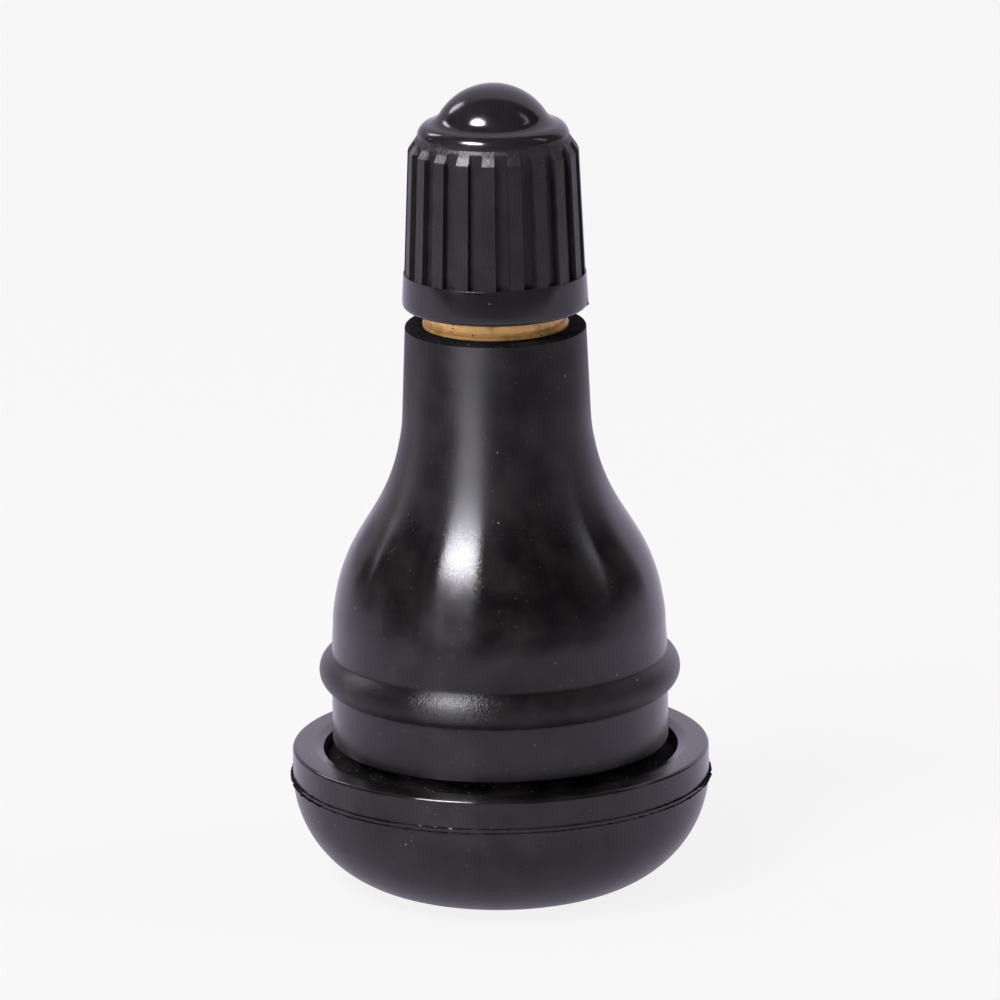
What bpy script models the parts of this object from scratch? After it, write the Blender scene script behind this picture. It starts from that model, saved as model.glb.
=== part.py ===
"""Snap-in rubber tyre valve.

A rubber body is moulded round a turned brass stem. A spring-loaded core screws into the stem's mouth,
and a ribbed plastic cap with a sealing ring screws over the stem. Every piece is turned about the
vertical axis. The valve stands on its base at height 0, and all lengths are in metres.
"""

import math

import bmesh
import bpy
from mathutils import Matrix

# Fits between neighbouring pieces
BOND_GAP = 0.00005
SEAT_GAP = 0.00005
RUN_CLEARANCE = 0.0001
THREAD_CLEARANCE = 0.0001

# Rubber body: domed base, moulding seam and flange
BASE_FLAT_RADIUS = 0.00683
BASE_HOLE_RADIUS = 0.002
DOME_HEIGHT = 0.006
DOME_RISE = 0.0013
SEAM_HEIGHT = 0.0003
SEAM_PROUD = 0.0002
FLANGE_OVERHANG = 0.0023
FLANGE_EDGE_HEIGHT = 0.0016
FLANGE_ROUND = 0.0002
FACE_INSET = 0.00155
DISH_INSET = 0.0008
DISH_DEPTH = 0.0002
FLANGE_DIP = 0.00045

# Rubber body: the seat that fills the rim's hole, with a relief groove below and a bead above
SEAT_RADIUS = 0.00955
SEAT_LENGTH = 0.00345
GROOVE_RADIUS = 0.0006
GROOVE_OFFSET = 0.00015
GROOVE_SINK = 0.00015
GROOVE_MOUTH = 0.0004
BEAD_ROUND = 0.0011
BEAD_PROUD = 0.0007

# Rubber body: bulb and neck, two round arcs and a straight taper that run into each other
BULB_INSET = 0.0001
BULB_RISE = 0.0026
BULB_ROUND = 0.01015
NECK_ROUND = 0.01105
NECK_TAPER = math.radians(2.3)
NECK_HEIGHT = 0.01745
NECK_WALL = 0.001
LIP_ROUND = 0.0002

# Brass stem
STEM_THREAD_RADIUS = 0.003875
STEM_THREAD_LENGTH = 0.0087
STEM_RELIEF_DEPTH = 0.0004
STEM_RELIEF_HEIGHT = 0.0003
MOUTH_CHAMFER = 0.0004
MOUTH_COUNTERSINK = 0.00025
COLLAR_STEP = 0.00011
COLLAR_HEIGHT = 0.00075
COLLAR_LIP = 0.00013
COLLAR_LIP_HEIGHT = 0.00018
COLLAR_SUNK = 0.0005
SHANK_STEP = 0.00018
FOOT_COVER = 0.009
FOOT_PROUD = 0.0011
FOOT_HEIGHT = 0.0011
KEY_GROOVES = 2
KEY_GROOVE_DEPTH = 0.00035
KEY_GROOVE_WIDTH = 0.0008
KEY_GROOVE_PITCH = 0.0022
KEY_GROOVE_RISE = 0.0024
LOWER_BORE_RADIUS = 0.0016
LOWER_BORE_CONE = 0.0003

# Valve core: threaded plug
CORE_THREAD_RADIUS = 0.002615
PLUG_DEPTH = 0.001
PLUG_HEAD_STEP = 0.0005
PLUG_HEAD_HEIGHT = 0.0012
PLUG_BRIDGE_THICKNESS = 0.0007
PLUG_BRIDGE_WIDTH = 0.0019
PLUG_THREAD_LENGTH = 0.0027
PLUG_CHAMFER = 0.0002

# Valve core: barrel, its gasket and the conical seat in the stem
STUB_LENGTH = 0.0014
STUB_WALL = 0.00045
STUB_RIM_PROUD = 0.0002
STUB_RIM_HEIGHT = 0.0004
STUB_BORE_LENGTH = 0.0047
BARREL_FLANGE_HEIGHT = 0.0005
BARREL_LIP_HEIGHT = 0.00045
BARREL_LENGTH = 0.0128
BARREL_WALL = 0.0004
BARREL_LEDGE = 0.001
FLOW_GAP = 0.00025
GASKET_HEIGHT = 0.0017
GASKET_THICKNESS = 0.0007
CONE_WIDENING = 0.0004

# Valve core: pin, spring, cup and cup gasket
PIN_RADIUS = 0.0006
PIN_DEPTH = 0.0002
PIN_TRAVEL = 0.0015
PIN_TIP_ROUND = 0.00015
PIN_PLAY = 0.00015
PIN_COLLAR_HEIGHT = 0.0004
PIN_COLLAR_HEADROOM = 0.0007
PIN_HEAD_PROUD = 0.00035
PIN_HEAD_HEIGHT = 0.0004
COIL_PLAY = 0.00025
WIRE_RADIUS = 0.000125
SPRING_TURNS = 9
SPRING_END_TURNS = 1
SPRING_END_PITCH = 0.00029
CUP_WALL = 0.00015
CUP_FLOOR = 0.0002
CUP_HEIGHT = 0.0009
CUP_GASKET_HEIGHT = 0.0012
FLOOR_ROOM = 0.0006

# Cap and its sealing ring
SEAL_THICKNESS = 0.001
SEAL_HOLE_PLAY = 0.0006
SEAL_GRIP = 0.0003
CAP_STANDOFF = 0.001
CAP_WALL = 0.00126
CAP_MOUTH_ROUND = 0.0003
CAP_MOUTH_CHAMFER = 0.0003
CAP_DRAFT = math.radians(2.4)
BAND_HEIGHT = 0.002
BAND_LEDGE = 0.00006
RIB_COUNT = 20
RIB_PROUD = 0.00038
RIB_GROOVE_WIDTH = 0.0008
RIB_PHASE = math.radians(-3.7)
RIB_END_DEPTH = 0.0005
RIB_CHAMFER_HEIGHT = 0.0005
RIB_CHAMFER_RUN = 0.00035
SHOULDER_ROUND = 0.0008
SHOULDER_SET_IN = 0.00052
SHOULDER_RISE = 0.00026
CROWN_FILLET = 0.0012
CROWN_ROUND = 0.00355
CROWN_HEIGHT = 0.0032
CROWN_WALL = 0.0014

# Radii that follow from the pin outwards
COIL_RADIUS = PIN_RADIUS + COIL_PLAY + WIRE_RADIUS
STUB_BORE = PIN_RADIUS + PIN_PLAY
STUB_RADIUS = STUB_BORE + STUB_WALL
SPRING_BORE = COIL_RADIUS + WIRE_RADIUS + COIL_PLAY
BARREL_RADIUS = SPRING_BORE + BARREL_WALL
CHAMBER_RADIUS = BARREL_RADIUS + FLOW_GAP
CONE_RADIUS = CHAMBER_RADIUS + CONE_WIDENING
GASKET_BORE = CONE_RADIUS - SEAT_GAP - GASKET_THICKNESS
CORE_BORE = max(CORE_THREAD_RADIUS, CONE_RADIUS) + THREAD_CLEARANCE

# Radii that follow from the stem outwards
SHANK_RADIUS = STEM_THREAD_RADIUS - SHANK_STEP
COLLAR_RADIUS = STEM_THREAD_RADIUS + COLLAR_STEP
COLLAR_LIP_RADIUS = COLLAR_RADIUS + COLLAR_LIP
FOOT_RADIUS = SHANK_RADIUS + FOOT_PROUD
NECK_RADIUS = COLLAR_LIP_RADIUS + NECK_WALL
BULB_RADIUS = SEAT_RADIUS - BULB_INSET
FLANGE_RADIUS = SEAT_RADIUS + FLANGE_OVERHANG
CAP_BORE = STEM_THREAD_RADIUS + THREAD_CLEARANCE
CAP_RADIUS = CAP_BORE + CAP_WALL

# Levels of the rubber body, from the base up
SEAM_TOP = DOME_HEIGHT + SEAM_HEIGHT
FLANGE_TOP = SEAM_TOP + FLANGE_EDGE_HEIGHT
BEAD_FOOT = FLANGE_TOP + SEAT_LENGTH
BEAD_LEVEL = BEAD_FOOT + math.sqrt(BEAD_ROUND**2 - (BEAD_ROUND - BEAD_PROUD) ** 2)
BULB_LEVEL = BEAD_LEVEL + BULB_RISE
RUBBER_TOP = BULB_LEVEL + NECK_HEIGHT

# Levels of the stem and the cap
COLLAR_TOP = RUBBER_TOP + COLLAR_HEIGHT
MOUTH_LEVEL = COLLAR_TOP + STEM_THREAD_LENGTH
CAP_MOUTH = RUBBER_TOP + CAP_STANDOFF
SEAL_LEVEL = MOUTH_LEVEL + SEAT_GAP
CAP_ROOF = SEAL_LEVEL + SEAL_THICKNESS + SEAT_GAP
CROWN_TOP = CAP_ROOF + CROWN_HEIGHT

# Levels of the core, from the mouth down
PLUG_TOP = MOUTH_LEVEL - PLUG_DEPTH
PLUG_SHOULDER = PLUG_TOP - PLUG_HEAD_HEIGHT
PLUG_FOOT = PLUG_SHOULDER - PLUG_THREAD_LENGTH
BARREL_TOP = PLUG_FOOT - SEAT_GAP
GASKET_TOP = BARREL_TOP - BARREL_FLANGE_HEIGHT - SEAT_GAP
GASKET_FOOT = GASKET_TOP - GASKET_HEIGHT
BARREL_LIP_TOP = GASKET_FOOT - SEAT_GAP
BARREL_FOOT = BARREL_TOP - BARREL_LENGTH
SPRING_ROOF = BARREL_TOP + STUB_LENGTH - STUB_BORE_LENGTH
SPRING_FOOT = BARREL_FOOT + BARREL_LEDGE + SEAT_GAP
PIN_COLLAR_TOP = SPRING_ROOF - PIN_COLLAR_HEADROOM
SPRING_TOP = PIN_COLLAR_TOP - PIN_COLLAR_HEIGHT - SEAT_GAP
CUP_GASKET_TOP = BARREL_FOOT - SEAT_GAP
CUP_FLOOR_TOP = CUP_GASKET_TOP - CUP_GASKET_HEIGHT - SEAT_GAP
CUP_FOOT = CUP_FLOOR_TOP - CUP_FLOOR
PIN_HEAD_TOP = CUP_FOOT - SEAT_GAP
PIN_FOOT = PIN_HEAD_TOP - PIN_HEAD_HEIGHT
CHAMBER_FLOOR = PIN_FOOT - PIN_TRAVEL - FLOOR_ROOM

# Facets round the axis
RUBBER_SEGMENTS = 44
CAP_SEGMENTS = 2 * RIB_COUNT
STEM_SEGMENTS = 32
CORE_SEGMENTS = 24
ARC_TOLERANCE = 0.00002
WIDEST_CHORD = math.radians(32)
SHARP_ANGLE = math.radians(32)
AXIS_MERGE = 0.00001
CUT_MARGIN = 0.001

# Name: base colour, metallic, roughness
FINISHES = {
    "rubber": ((0.012, 0.012, 0.014), 0.0, 0.42),
    "brass": ((0.62, 0.42, 0.16), 1.0, 0.33),
    "cap_plastic": ((0.014, 0.013, 0.014), 0.0, 0.28),
    "seal_rubber": ((0.03, 0.03, 0.03), 0.0, 0.6),
    "gasket_red": ((0.42, 0.03, 0.02), 0.0, 0.5),
    "spring_steel": ((0.55, 0.55, 0.57), 1.0, 0.28),
}


def clear_scene():
    """Removes the objects that a new file starts with."""
    for obj in list(bpy.data.objects):
        bpy.data.objects.remove(obj, do_unlink=True)


def new_collection(name):
    collection = bpy.data.collections.new(name)
    bpy.context.scene.collection.children.link(collection)
    return collection


def new_material(name):
    colour, metallic, roughness = FINISHES[name]
    material = bpy.data.materials.new(name)
    material.use_nodes = True
    shader = material.node_tree.nodes["Principled BSDF"]
    shader.inputs["Base Color"].default_value = (*colour, 1.0)
    shader.inputs["Metallic"].default_value = metallic
    shader.inputs["Roughness"].default_value = roughness
    return material


def new_axis(parts, name, level, parent=None):
    """An empty on the valve's axis, which carries the pieces that move together."""
    axis = bpy.data.objects.new(name, None)
    axis.empty_display_size = NECK_RADIUS
    parts.objects.link(axis)
    axis.parent = parent
    axis.location.z = level
    return axis


def arc(centre, radius, start, end):
    """Points of a round arc in the (radius, height) plane, from one angle to another in radians.

    The chords stay within ARC_TOLERANCE of the arc, and none spans more than WIDEST_CHORD.
    """
    span = 2 * math.acos(max(1 - ARC_TOLERANCE / radius, 0.0))
    steps = math.ceil(abs(end - start) / min(span, WIDEST_CHORD))
    angles = [start + (end - start) * step / steps for step in range(steps + 1)]
    return [(centre[0] + radius * math.cos(a), centre[1] + radius * math.sin(a)) for a in angles]


def bulged(start, end, rise):
    """A round arc between two points that bulges by `rise` to the left of the way from start to end."""
    run_x, run_y = end[0] - start[0], end[1] - start[1]
    chord = math.hypot(run_x, run_y)
    radius = chord**2 / (8 * rise) + rise / 2
    depth = (radius - rise) / chord
    centre = ((start[0] + end[0]) / 2 + run_y * depth, (start[1] + end[1]) / 2 - run_x * depth)
    first = math.atan2(start[1] - centre[1], start[0] - centre[0])
    last = math.atan2(end[1] - centre[1], end[0] - centre[0])
    return arc(centre, radius, first, last)


def grown(points, gap):
    """An open outline moved by `gap` to the left of its direction, with mitred corners."""
    normals = []
    for (x0, y0), (x1, y1) in zip(points, points[1:]):
        length = math.hypot(x1 - x0, y1 - y0)
        normals.append(((y0 - y1) / length, (x1 - x0) / length))
    moved = []
    for index, (x, y) in enumerate(points):
        ax, ay = normals[max(index - 1, 0)]
        bx, by = normals[min(index, len(normals) - 1)]
        share = gap / (1 + ax * bx + ay * by)
        moved.append((x + (ax + bx) * share, y + (ay + by) * share))
    return moved


def turned(parts, name, outline, level, parent, material, segments, closed=True):
    """Turns an outline of (radius, height) points about the vertical axis.

    The outline runs down the outer side and back up the inner side. An open one starts and ends on
    the axis. The object's origin lies on the axis at `level`.
    """
    mesh = bpy.data.meshes.new(name)
    points = [(radius, 0.0, height - level) for radius, height in outline]
    edges = [(index, index + 1) for index in range(len(points) - 1)]
    if closed:
        edges.append((len(points) - 1, 0))
    mesh.from_pydata(points, edges, [])
    mesh.materials.append(material)
    obj = bpy.data.objects.new(name, mesh)
    parts.objects.link(obj)
    obj.parent = parent
    obj.location.z = level - parent.location.z
    screw = obj.modifiers.new("turn", "SCREW")
    screw.steps = segments
    screw.render_steps = segments
    screw.use_merge_vertices = True
    screw.merge_threshold = AXIS_MERGE
    return obj


def box_mesh(name, boxes):
    """One mesh of several boxes, each given as a size and a matrix that places it."""
    shape = bmesh.new()
    for size, place in boxes:
        corners = bmesh.ops.create_cube(shape, size=1.0)["verts"]
        bmesh.ops.transform(shape, matrix=place @ Matrix.Diagonal((*size, 1.0)), verts=corners)
    mesh = bpy.data.meshes.new(name)
    shape.to_mesh(mesh)
    shape.free()
    return mesh


def cut(obj, cutters, name, mesh):
    """Takes a mesh out of an object with a Boolean, and keeps the cutter hidden beside it."""
    cutter = bpy.data.objects.new(name, mesh)
    cutters.objects.link(cutter)
    cutter.hide_render = True
    cutter.display_type = "WIRE"
    boolean = obj.modifiers.new(name, "BOOLEAN")
    boolean.operation = "DIFFERENCE"
    boolean.solver = "EXACT"
    boolean.object = cutter


def stem_shank():
    """Outline of the stem inside the rubber, from the foot's lower edge up to the collar's lip."""
    points = [(FOOT_RADIUS, FOOT_COVER), (FOOT_RADIUS, FOOT_COVER + FOOT_HEIGHT)]
    points.append((SHANK_RADIUS, FOOT_COVER + FOOT_HEIGHT))
    for groove in range(KEY_GROOVES):
        low = FOOT_COVER + KEY_GROOVE_RISE + groove * KEY_GROOVE_PITCH
        high = low + KEY_GROOVE_WIDTH
        floor = SHANK_RADIUS - KEY_GROOVE_DEPTH
        points += [(SHANK_RADIUS, low), (floor, low), (floor, high), (SHANK_RADIUS, high)]
    under_collar = RUBBER_TOP - COLLAR_SUNK
    points += [(SHANK_RADIUS, under_collar), (COLLAR_LIP_RADIUS, under_collar)]
    return points


def neck_outline():
    """Bulb and neck from the top down: a straight taper, a hollow arc and a full one, all tangent.

    The taper leaves the lip at NECK_TAPER from the vertical. The centre of the neck's arc lies
    NECK_ROUND off that line and both radii away from the centre of the bulb's arc, which gives the
    angle where the two arcs meet.
    """
    reach = BULB_ROUND + NECK_ROUND
    bulb_centre = (BULB_RADIUS - BULB_ROUND, BULB_LEVEL)
    across = math.cos(NECK_TAPER) * (bulb_centre[0] - NECK_RADIUS)
    along = math.sin(NECK_TAPER) * (bulb_centre[1] - RUBBER_TOP)
    meet = NECK_TAPER + math.acos((NECK_ROUND - across - along) / reach)
    neck_centre = (
        bulb_centre[0] + reach * math.cos(meet),
        bulb_centre[1] + reach * math.sin(meet),
    )
    hollow = arc(neck_centre, NECK_ROUND, math.pi + NECK_TAPER, math.pi + meet)
    full = arc(bulb_centre, BULB_ROUND, meet, 0.0)
    return hollow + full[1:]


def bead_outline():
    """The bead above the seat, from the bulb's foot down to the seat's upper end."""
    centre = (SEAT_RADIUS + BEAD_PROUD - BEAD_ROUND, BEAD_LEVEL)
    upper = math.acos((BULB_RADIUS - centre[0]) / BEAD_ROUND)
    lower = -math.acos((SEAT_RADIUS - centre[0]) / BEAD_ROUND)
    return arc(centre, BEAD_ROUND, upper, lower)


def groove_outline():
    """The relief groove at the seat's foot, from the seat round to the flange's inner edge."""
    centre = (SEAT_RADIUS + GROOVE_OFFSET, FLANGE_TOP - GROOVE_SINK)
    start = math.pi - math.acos(GROOVE_OFFSET / GROOVE_RADIUS)
    reach = (GROOVE_MOUTH - GROOVE_OFFSET) / GROOVE_RADIUS
    return arc(centre, GROOVE_RADIUS, start, 2 * math.pi - math.acos(reach))


def flange_outline():
    """The flange from its inner edge over the dished rim face and the moulding seam to the seam's foot."""
    corner = (FLANGE_RADIUS - FLANGE_ROUND, FLANGE_TOP - FLANGE_ROUND)
    inner = [
        (SEAT_RADIUS + GROOVE_MOUTH, FLANGE_TOP - FLANGE_DIP),
        (SEAT_RADIUS + DISH_INSET, FLANGE_TOP - DISH_DEPTH),
        (SEAT_RADIUS + FACE_INSET, FLANGE_TOP),
    ]
    seam = [
        (FLANGE_RADIUS, SEAM_TOP),
        (FLANGE_RADIUS + SEAM_PROUD, SEAM_TOP - SEAM_HEIGHT / 4),
        (FLANGE_RADIUS + SEAM_PROUD, DOME_HEIGHT + SEAM_HEIGHT / 4),
        (FLANGE_RADIUS, DOME_HEIGHT),
    ]
    return inner + arc(corner, FLANGE_ROUND, math.pi / 2, 0.0) + seam


def rubber_body(parts, parent, materials):
    """Base dome, flange, seat, bead, bulb and neck in one moulding round the stem."""
    lip = (NECK_RADIUS - LIP_ROUND, RUBBER_TOP - LIP_ROUND)
    outline = arc(lip, LIP_ROUND, math.pi / 2, NECK_TAPER)
    outline += neck_outline()
    outline += bead_outline()
    outline += groove_outline()
    outline += flange_outline()
    dome = bulged((FLANGE_RADIUS, DOME_HEIGHT), (BASE_FLAT_RADIUS, 0.0), DOME_RISE)
    outline += dome[1:]
    outline += [(BASE_HOLE_RADIUS, 0.0), (BASE_HOLE_RADIUS, FOOT_COVER - BOND_GAP)]
    bonded = grown(stem_shank(), -BOND_GAP)
    bonded[0] = (FOOT_RADIUS + BOND_GAP, FOOT_COVER - BOND_GAP)
    bonded[-1] = (COLLAR_LIP_RADIUS + BOND_GAP, bonded[-1][1])
    outline += bonded
    outline.append((COLLAR_LIP_RADIUS + BOND_GAP, RUBBER_TOP))
    material = materials["rubber"]
    return turned(parts, "rubber_body", outline, 0.0, parent, material, RUBBER_SEGMENTS)


def valve_stem(parts, parent, materials):
    """The turned brass stem: threaded end, collar, keyed shank, flared foot and stepped bore."""
    relief = STEM_THREAD_RADIUS - STEM_RELIEF_DEPTH
    relief_top = COLLAR_TOP + STEM_RELIEF_DEPTH + STEM_RELIEF_HEIGHT
    outer = [
        (STEM_THREAD_RADIUS - MOUTH_CHAMFER, MOUTH_LEVEL),
        (STEM_THREAD_RADIUS, MOUTH_LEVEL - MOUTH_CHAMFER),
        (STEM_THREAD_RADIUS, relief_top + STEM_RELIEF_DEPTH),
        (relief, relief_top),
        (relief, COLLAR_TOP + STEM_RELIEF_DEPTH / 2),
        (COLLAR_RADIUS, COLLAR_TOP),
        (COLLAR_RADIUS, RUBBER_TOP + COLLAR_LIP_HEIGHT),
        (COLLAR_LIP_RADIUS, RUBBER_TOP + COLLAR_LIP_HEIGHT),
    ]
    outer += reversed(stem_shank())
    inner = [
        (LOWER_BORE_RADIUS, FOOT_COVER),
        (LOWER_BORE_RADIUS, CHAMBER_FLOOR - LOWER_BORE_CONE),
        (CHAMBER_RADIUS, CHAMBER_FLOOR),
        (CHAMBER_RADIUS, GASKET_FOOT),
        (CONE_RADIUS, GASKET_TOP),
        (CORE_BORE, GASKET_TOP + CONE_WIDENING / 2),
        (CORE_BORE, MOUTH_LEVEL - MOUTH_COUNTERSINK),
        (CORE_BORE + MOUTH_COUNTERSINK, MOUTH_LEVEL),
    ]
    material = materials["brass"]
    return turned(parts, "valve_stem", outer + inner, FOOT_COVER, parent, material, STEM_SEGMENTS)


def core_plug(parts, cutters, parent, materials):
    """The plug, which turns on the barrel's stub and is held behind its rim.

    It is a threaded ring whose head is milled down on two sides to a bridge that guides the pin.
    """
    head = CORE_THREAD_RADIUS - PLUG_HEAD_STEP
    bore = STUB_RADIUS + RUN_CLEARANCE
    room = bore + STUB_RIM_PROUD
    swivel = BARREL_TOP + STUB_LENGTH - STUB_RIM_HEIGHT - RUN_CLEARANCE
    bridge_foot = PLUG_TOP - PLUG_BRIDGE_THICKNESS
    outline = [
        (head - PLUG_CHAMFER, PLUG_TOP),
        (head, PLUG_TOP - PLUG_CHAMFER),
        (head, PLUG_SHOULDER),
        (CORE_THREAD_RADIUS - PLUG_CHAMFER, PLUG_SHOULDER),
        (CORE_THREAD_RADIUS, PLUG_SHOULDER - PLUG_CHAMFER),
        (CORE_THREAD_RADIUS, PLUG_FOOT + PLUG_CHAMFER),
        (CORE_THREAD_RADIUS - PLUG_CHAMFER, PLUG_FOOT),
        (bore, PLUG_FOOT),
        (bore, swivel),
        (room, swivel),
        (room, bridge_foot),
        (STUB_BORE, bridge_foot),
        (STUB_BORE, PLUG_TOP),
    ]
    plug = turned(parts, "core_plug", outline, PLUG_TOP, parent, materials["brass"], CORE_SEGMENTS)
    depth = PLUG_HEAD_HEIGHT + CUT_MARGIN
    width = CORE_THREAD_RADIUS + CUT_MARGIN
    offset = (PLUG_BRIDGE_WIDTH + width) / 2
    level = PLUG_SHOULDER + depth / 2
    sides = [
        ((2 * width, width, depth), Matrix.Translation((0.0, side * offset, level)))
        for side in (-1, 1)
    ]
    cut(plug, cutters, "plug_side_cuts", box_mesh("plug_side_cuts", sides))
    return plug


def core_barrel(parts, parent, materials):
    """The core's tube: a rimmed stub for the plug, a gasket groove and a ledge for the spring."""
    flange = CONE_RADIUS - RUN_CLEARANCE
    lip = CHAMBER_RADIUS - RUN_CLEARANCE
    stub_top = BARREL_TOP + STUB_LENGTH
    rim_foot = stub_top - STUB_RIM_HEIGHT
    lip_foot = BARREL_LIP_TOP - BARREL_LIP_HEIGHT
    groove = GASKET_BORE - SEAT_GAP
    outline = [
        (STUB_RADIUS, stub_top),
        (STUB_RADIUS + STUB_RIM_PROUD, stub_top - STUB_RIM_PROUD),
        (STUB_RADIUS + STUB_RIM_PROUD, rim_foot),
        (STUB_RADIUS, rim_foot),
        (STUB_RADIUS, BARREL_TOP),
        (flange, BARREL_TOP),
        (flange, BARREL_TOP - BARREL_FLANGE_HEIGHT),
        (groove, BARREL_TOP - BARREL_FLANGE_HEIGHT),
        (groove, BARREL_LIP_TOP),
        (lip, BARREL_LIP_TOP),
        (lip, lip_foot),
        (BARREL_RADIUS, lip_foot - (lip - BARREL_RADIUS)),
        (BARREL_RADIUS, BARREL_FOOT),
        (STUB_BORE, BARREL_FOOT),
        (STUB_BORE, BARREL_FOOT + BARREL_LEDGE),
        (SPRING_BORE, BARREL_FOOT + BARREL_LEDGE),
        (SPRING_BORE, SPRING_ROOF),
        (STUB_BORE, SPRING_ROOF),
        (STUB_BORE, stub_top),
    ]
    material = materials["brass"]
    return turned(parts, "core_barrel", outline, BARREL_TOP, parent, material, CORE_SEGMENTS)


def barrel_gasket(parts, parent, materials):
    """The conical ring that seals the core against the seat in the stem."""
    outline = [
        (CONE_RADIUS - SEAT_GAP, GASKET_TOP),
        (CHAMBER_RADIUS - SEAT_GAP, GASKET_FOOT),
        (GASKET_BORE, GASKET_FOOT),
        (GASKET_BORE, GASKET_TOP),
    ]
    material = materials["gasket_red"]
    return turned(parts, "barrel_gasket", outline, GASKET_TOP, parent, material, CORE_SEGMENTS)


def core_pin(parts, parent, materials):
    """The pin, with a collar that the spring lifts and a riveted head under the cup."""
    collar = COIL_RADIUS + WIRE_RADIUS
    tip = (PIN_RADIUS - PIN_TIP_ROUND, MOUTH_LEVEL - PIN_DEPTH - PIN_TIP_ROUND)
    outline = [(0.0, MOUTH_LEVEL - PIN_DEPTH)]
    outline += arc(tip, PIN_TIP_ROUND, math.pi / 2, 0.0)
    outline += [
        (PIN_RADIUS, PIN_COLLAR_TOP),
        (collar, PIN_COLLAR_TOP),
        (collar, PIN_COLLAR_TOP - PIN_COLLAR_HEIGHT),
        (PIN_RADIUS, PIN_COLLAR_TOP - PIN_COLLAR_HEIGHT),
        (PIN_RADIUS, PIN_HEAD_TOP),
        (PIN_RADIUS + PIN_HEAD_PROUD, PIN_HEAD_TOP),
        (PIN_RADIUS + PIN_HEAD_PROUD, PIN_FOOT + PIN_HEAD_HEIGHT / 2),
        (PIN_RADIUS, PIN_FOOT),
        (0.0, PIN_FOOT),
    ]
    level = MOUTH_LEVEL - PIN_DEPTH
    material = materials["brass"]
    return turned(parts, "core_pin", outline, level, parent, material, CORE_SEGMENTS, closed=False)


def pin_cup(parts, parent, materials):
    """The pressed cup on the pin's lower end."""
    outline = [
        (BARREL_RADIUS, CUP_FLOOR_TOP + CUP_HEIGHT),
        (BARREL_RADIUS, CUP_FOOT + CUP_WALL),
        (BARREL_RADIUS - CUP_WALL, CUP_FOOT),
        (PIN_RADIUS + SEAT_GAP, CUP_FOOT),
        (PIN_RADIUS + SEAT_GAP, CUP_FLOOR_TOP),
        (BARREL_RADIUS - CUP_WALL, CUP_FLOOR_TOP),
        (BARREL_RADIUS - CUP_WALL, CUP_FLOOR_TOP + CUP_HEIGHT),
    ]
    return turned(parts, "pin_cup", outline, CUP_FOOT, parent, materials["brass"], CORE_SEGMENTS)


def cup_gasket(parts, parent, materials):
    """The ring in the cup that closes the barrel's lower end."""
    inner = PIN_RADIUS + SEAT_GAP
    outer = BARREL_RADIUS - CUP_WALL - SEAT_GAP
    low = CUP_FLOOR_TOP + SEAT_GAP
    outline = [(outer, CUP_GASKET_TOP), (outer, low), (inner, low), (inner, CUP_GASKET_TOP)]
    material = materials["seal_rubber"]
    return turned(parts, "cup_gasket", outline, low, parent, material, CORE_SEGMENTS)


def core_spring(parts, parent, materials):
    """A compression spring round the pin, with one closed turn at each end."""
    points_per_turn = 8
    height = SPRING_TOP - SPRING_FOOT - 2 * WIRE_RADIUS
    end_rise = SPRING_END_TURNS * SPRING_END_PITCH
    active_turns = SPRING_TURNS - 2 * SPRING_END_TURNS
    active_pitch = (height - 2 * end_rise) / active_turns
    curve = bpy.data.curves.new("core_spring", "CURVE")
    curve.dimensions = "3D"
    curve.bevel_depth = WIRE_RADIUS
    curve.bevel_resolution = 2
    curve.use_fill_caps = True
    coil = curve.splines.new("POLY")
    coil.points.add(SPRING_TURNS * points_per_turn)
    for index, point in enumerate(coil.points):
        turn = index / points_per_turn
        active = min(max(turn - SPRING_END_TURNS, 0.0), active_turns)
        rise = (turn - active) * SPRING_END_PITCH + active * active_pitch
        angle = 2 * math.pi * turn
        x, y = COIL_RADIUS * math.cos(angle), COIL_RADIUS * math.sin(angle)
        point.co = (x, y, WIRE_RADIUS + rise, 1.0)
    curve.materials.append(materials["spring_steel"])
    spring = bpy.data.objects.new("core_spring", curve)
    parts.objects.link(spring)
    spring.parent = parent
    spring.location.z = SPRING_FOOT - parent.location.z
    return spring


def cap_seal(parts, parent, materials):
    """The sealing ring between the stem's mouth and the cap's roof."""
    outer = STEM_THREAD_RADIUS - RUN_CLEARANCE
    inner = PIN_RADIUS + SEAL_HOLE_PLAY
    top = SEAL_LEVEL + SEAL_THICKNESS
    outline = [(outer, top), (outer, SEAL_LEVEL), (inner, SEAL_LEVEL), (inner, top)]
    material = materials["seal_rubber"]
    return turned(parts, "cap_seal", outline, SEAL_LEVEL, parent, material, CORE_SEGMENTS)


def crown_outline(shoulder_radius):
    """Top of the cap from the axis down: crown, hollow fillet and rounded shoulder, all tangent."""
    crown = (0.0, CROWN_TOP - CROWN_ROUND)
    shoulder = (shoulder_radius - SHOULDER_ROUND, CAP_ROOF + SHOULDER_RISE)
    apart = math.hypot(shoulder[0] - crown[0], shoulder[1] - crown[1])
    to_crown = CROWN_ROUND + CROWN_FILLET
    to_shoulder = SHOULDER_ROUND + CROWN_FILLET
    along = (to_crown**2 - to_shoulder**2 + apart**2) / (2 * apart)
    lean = math.atan2(shoulder[1] - crown[1], shoulder[0] - crown[0])
    meet = lean + math.acos(along / to_crown)
    fillet = (crown[0] + to_crown * math.cos(meet), crown[1] + to_crown * math.sin(meet))
    leave = math.atan2(fillet[1] - shoulder[1], fillet[0] - shoulder[0])
    points = arc(crown, CROWN_ROUND, math.pi / 2, meet)
    points += arc(fillet, CROWN_FILLET, math.pi + meet, math.pi + leave)[1:]
    points += arc(shoulder, SHOULDER_ROUND, leave, 0.0)[1:]
    return points


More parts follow.
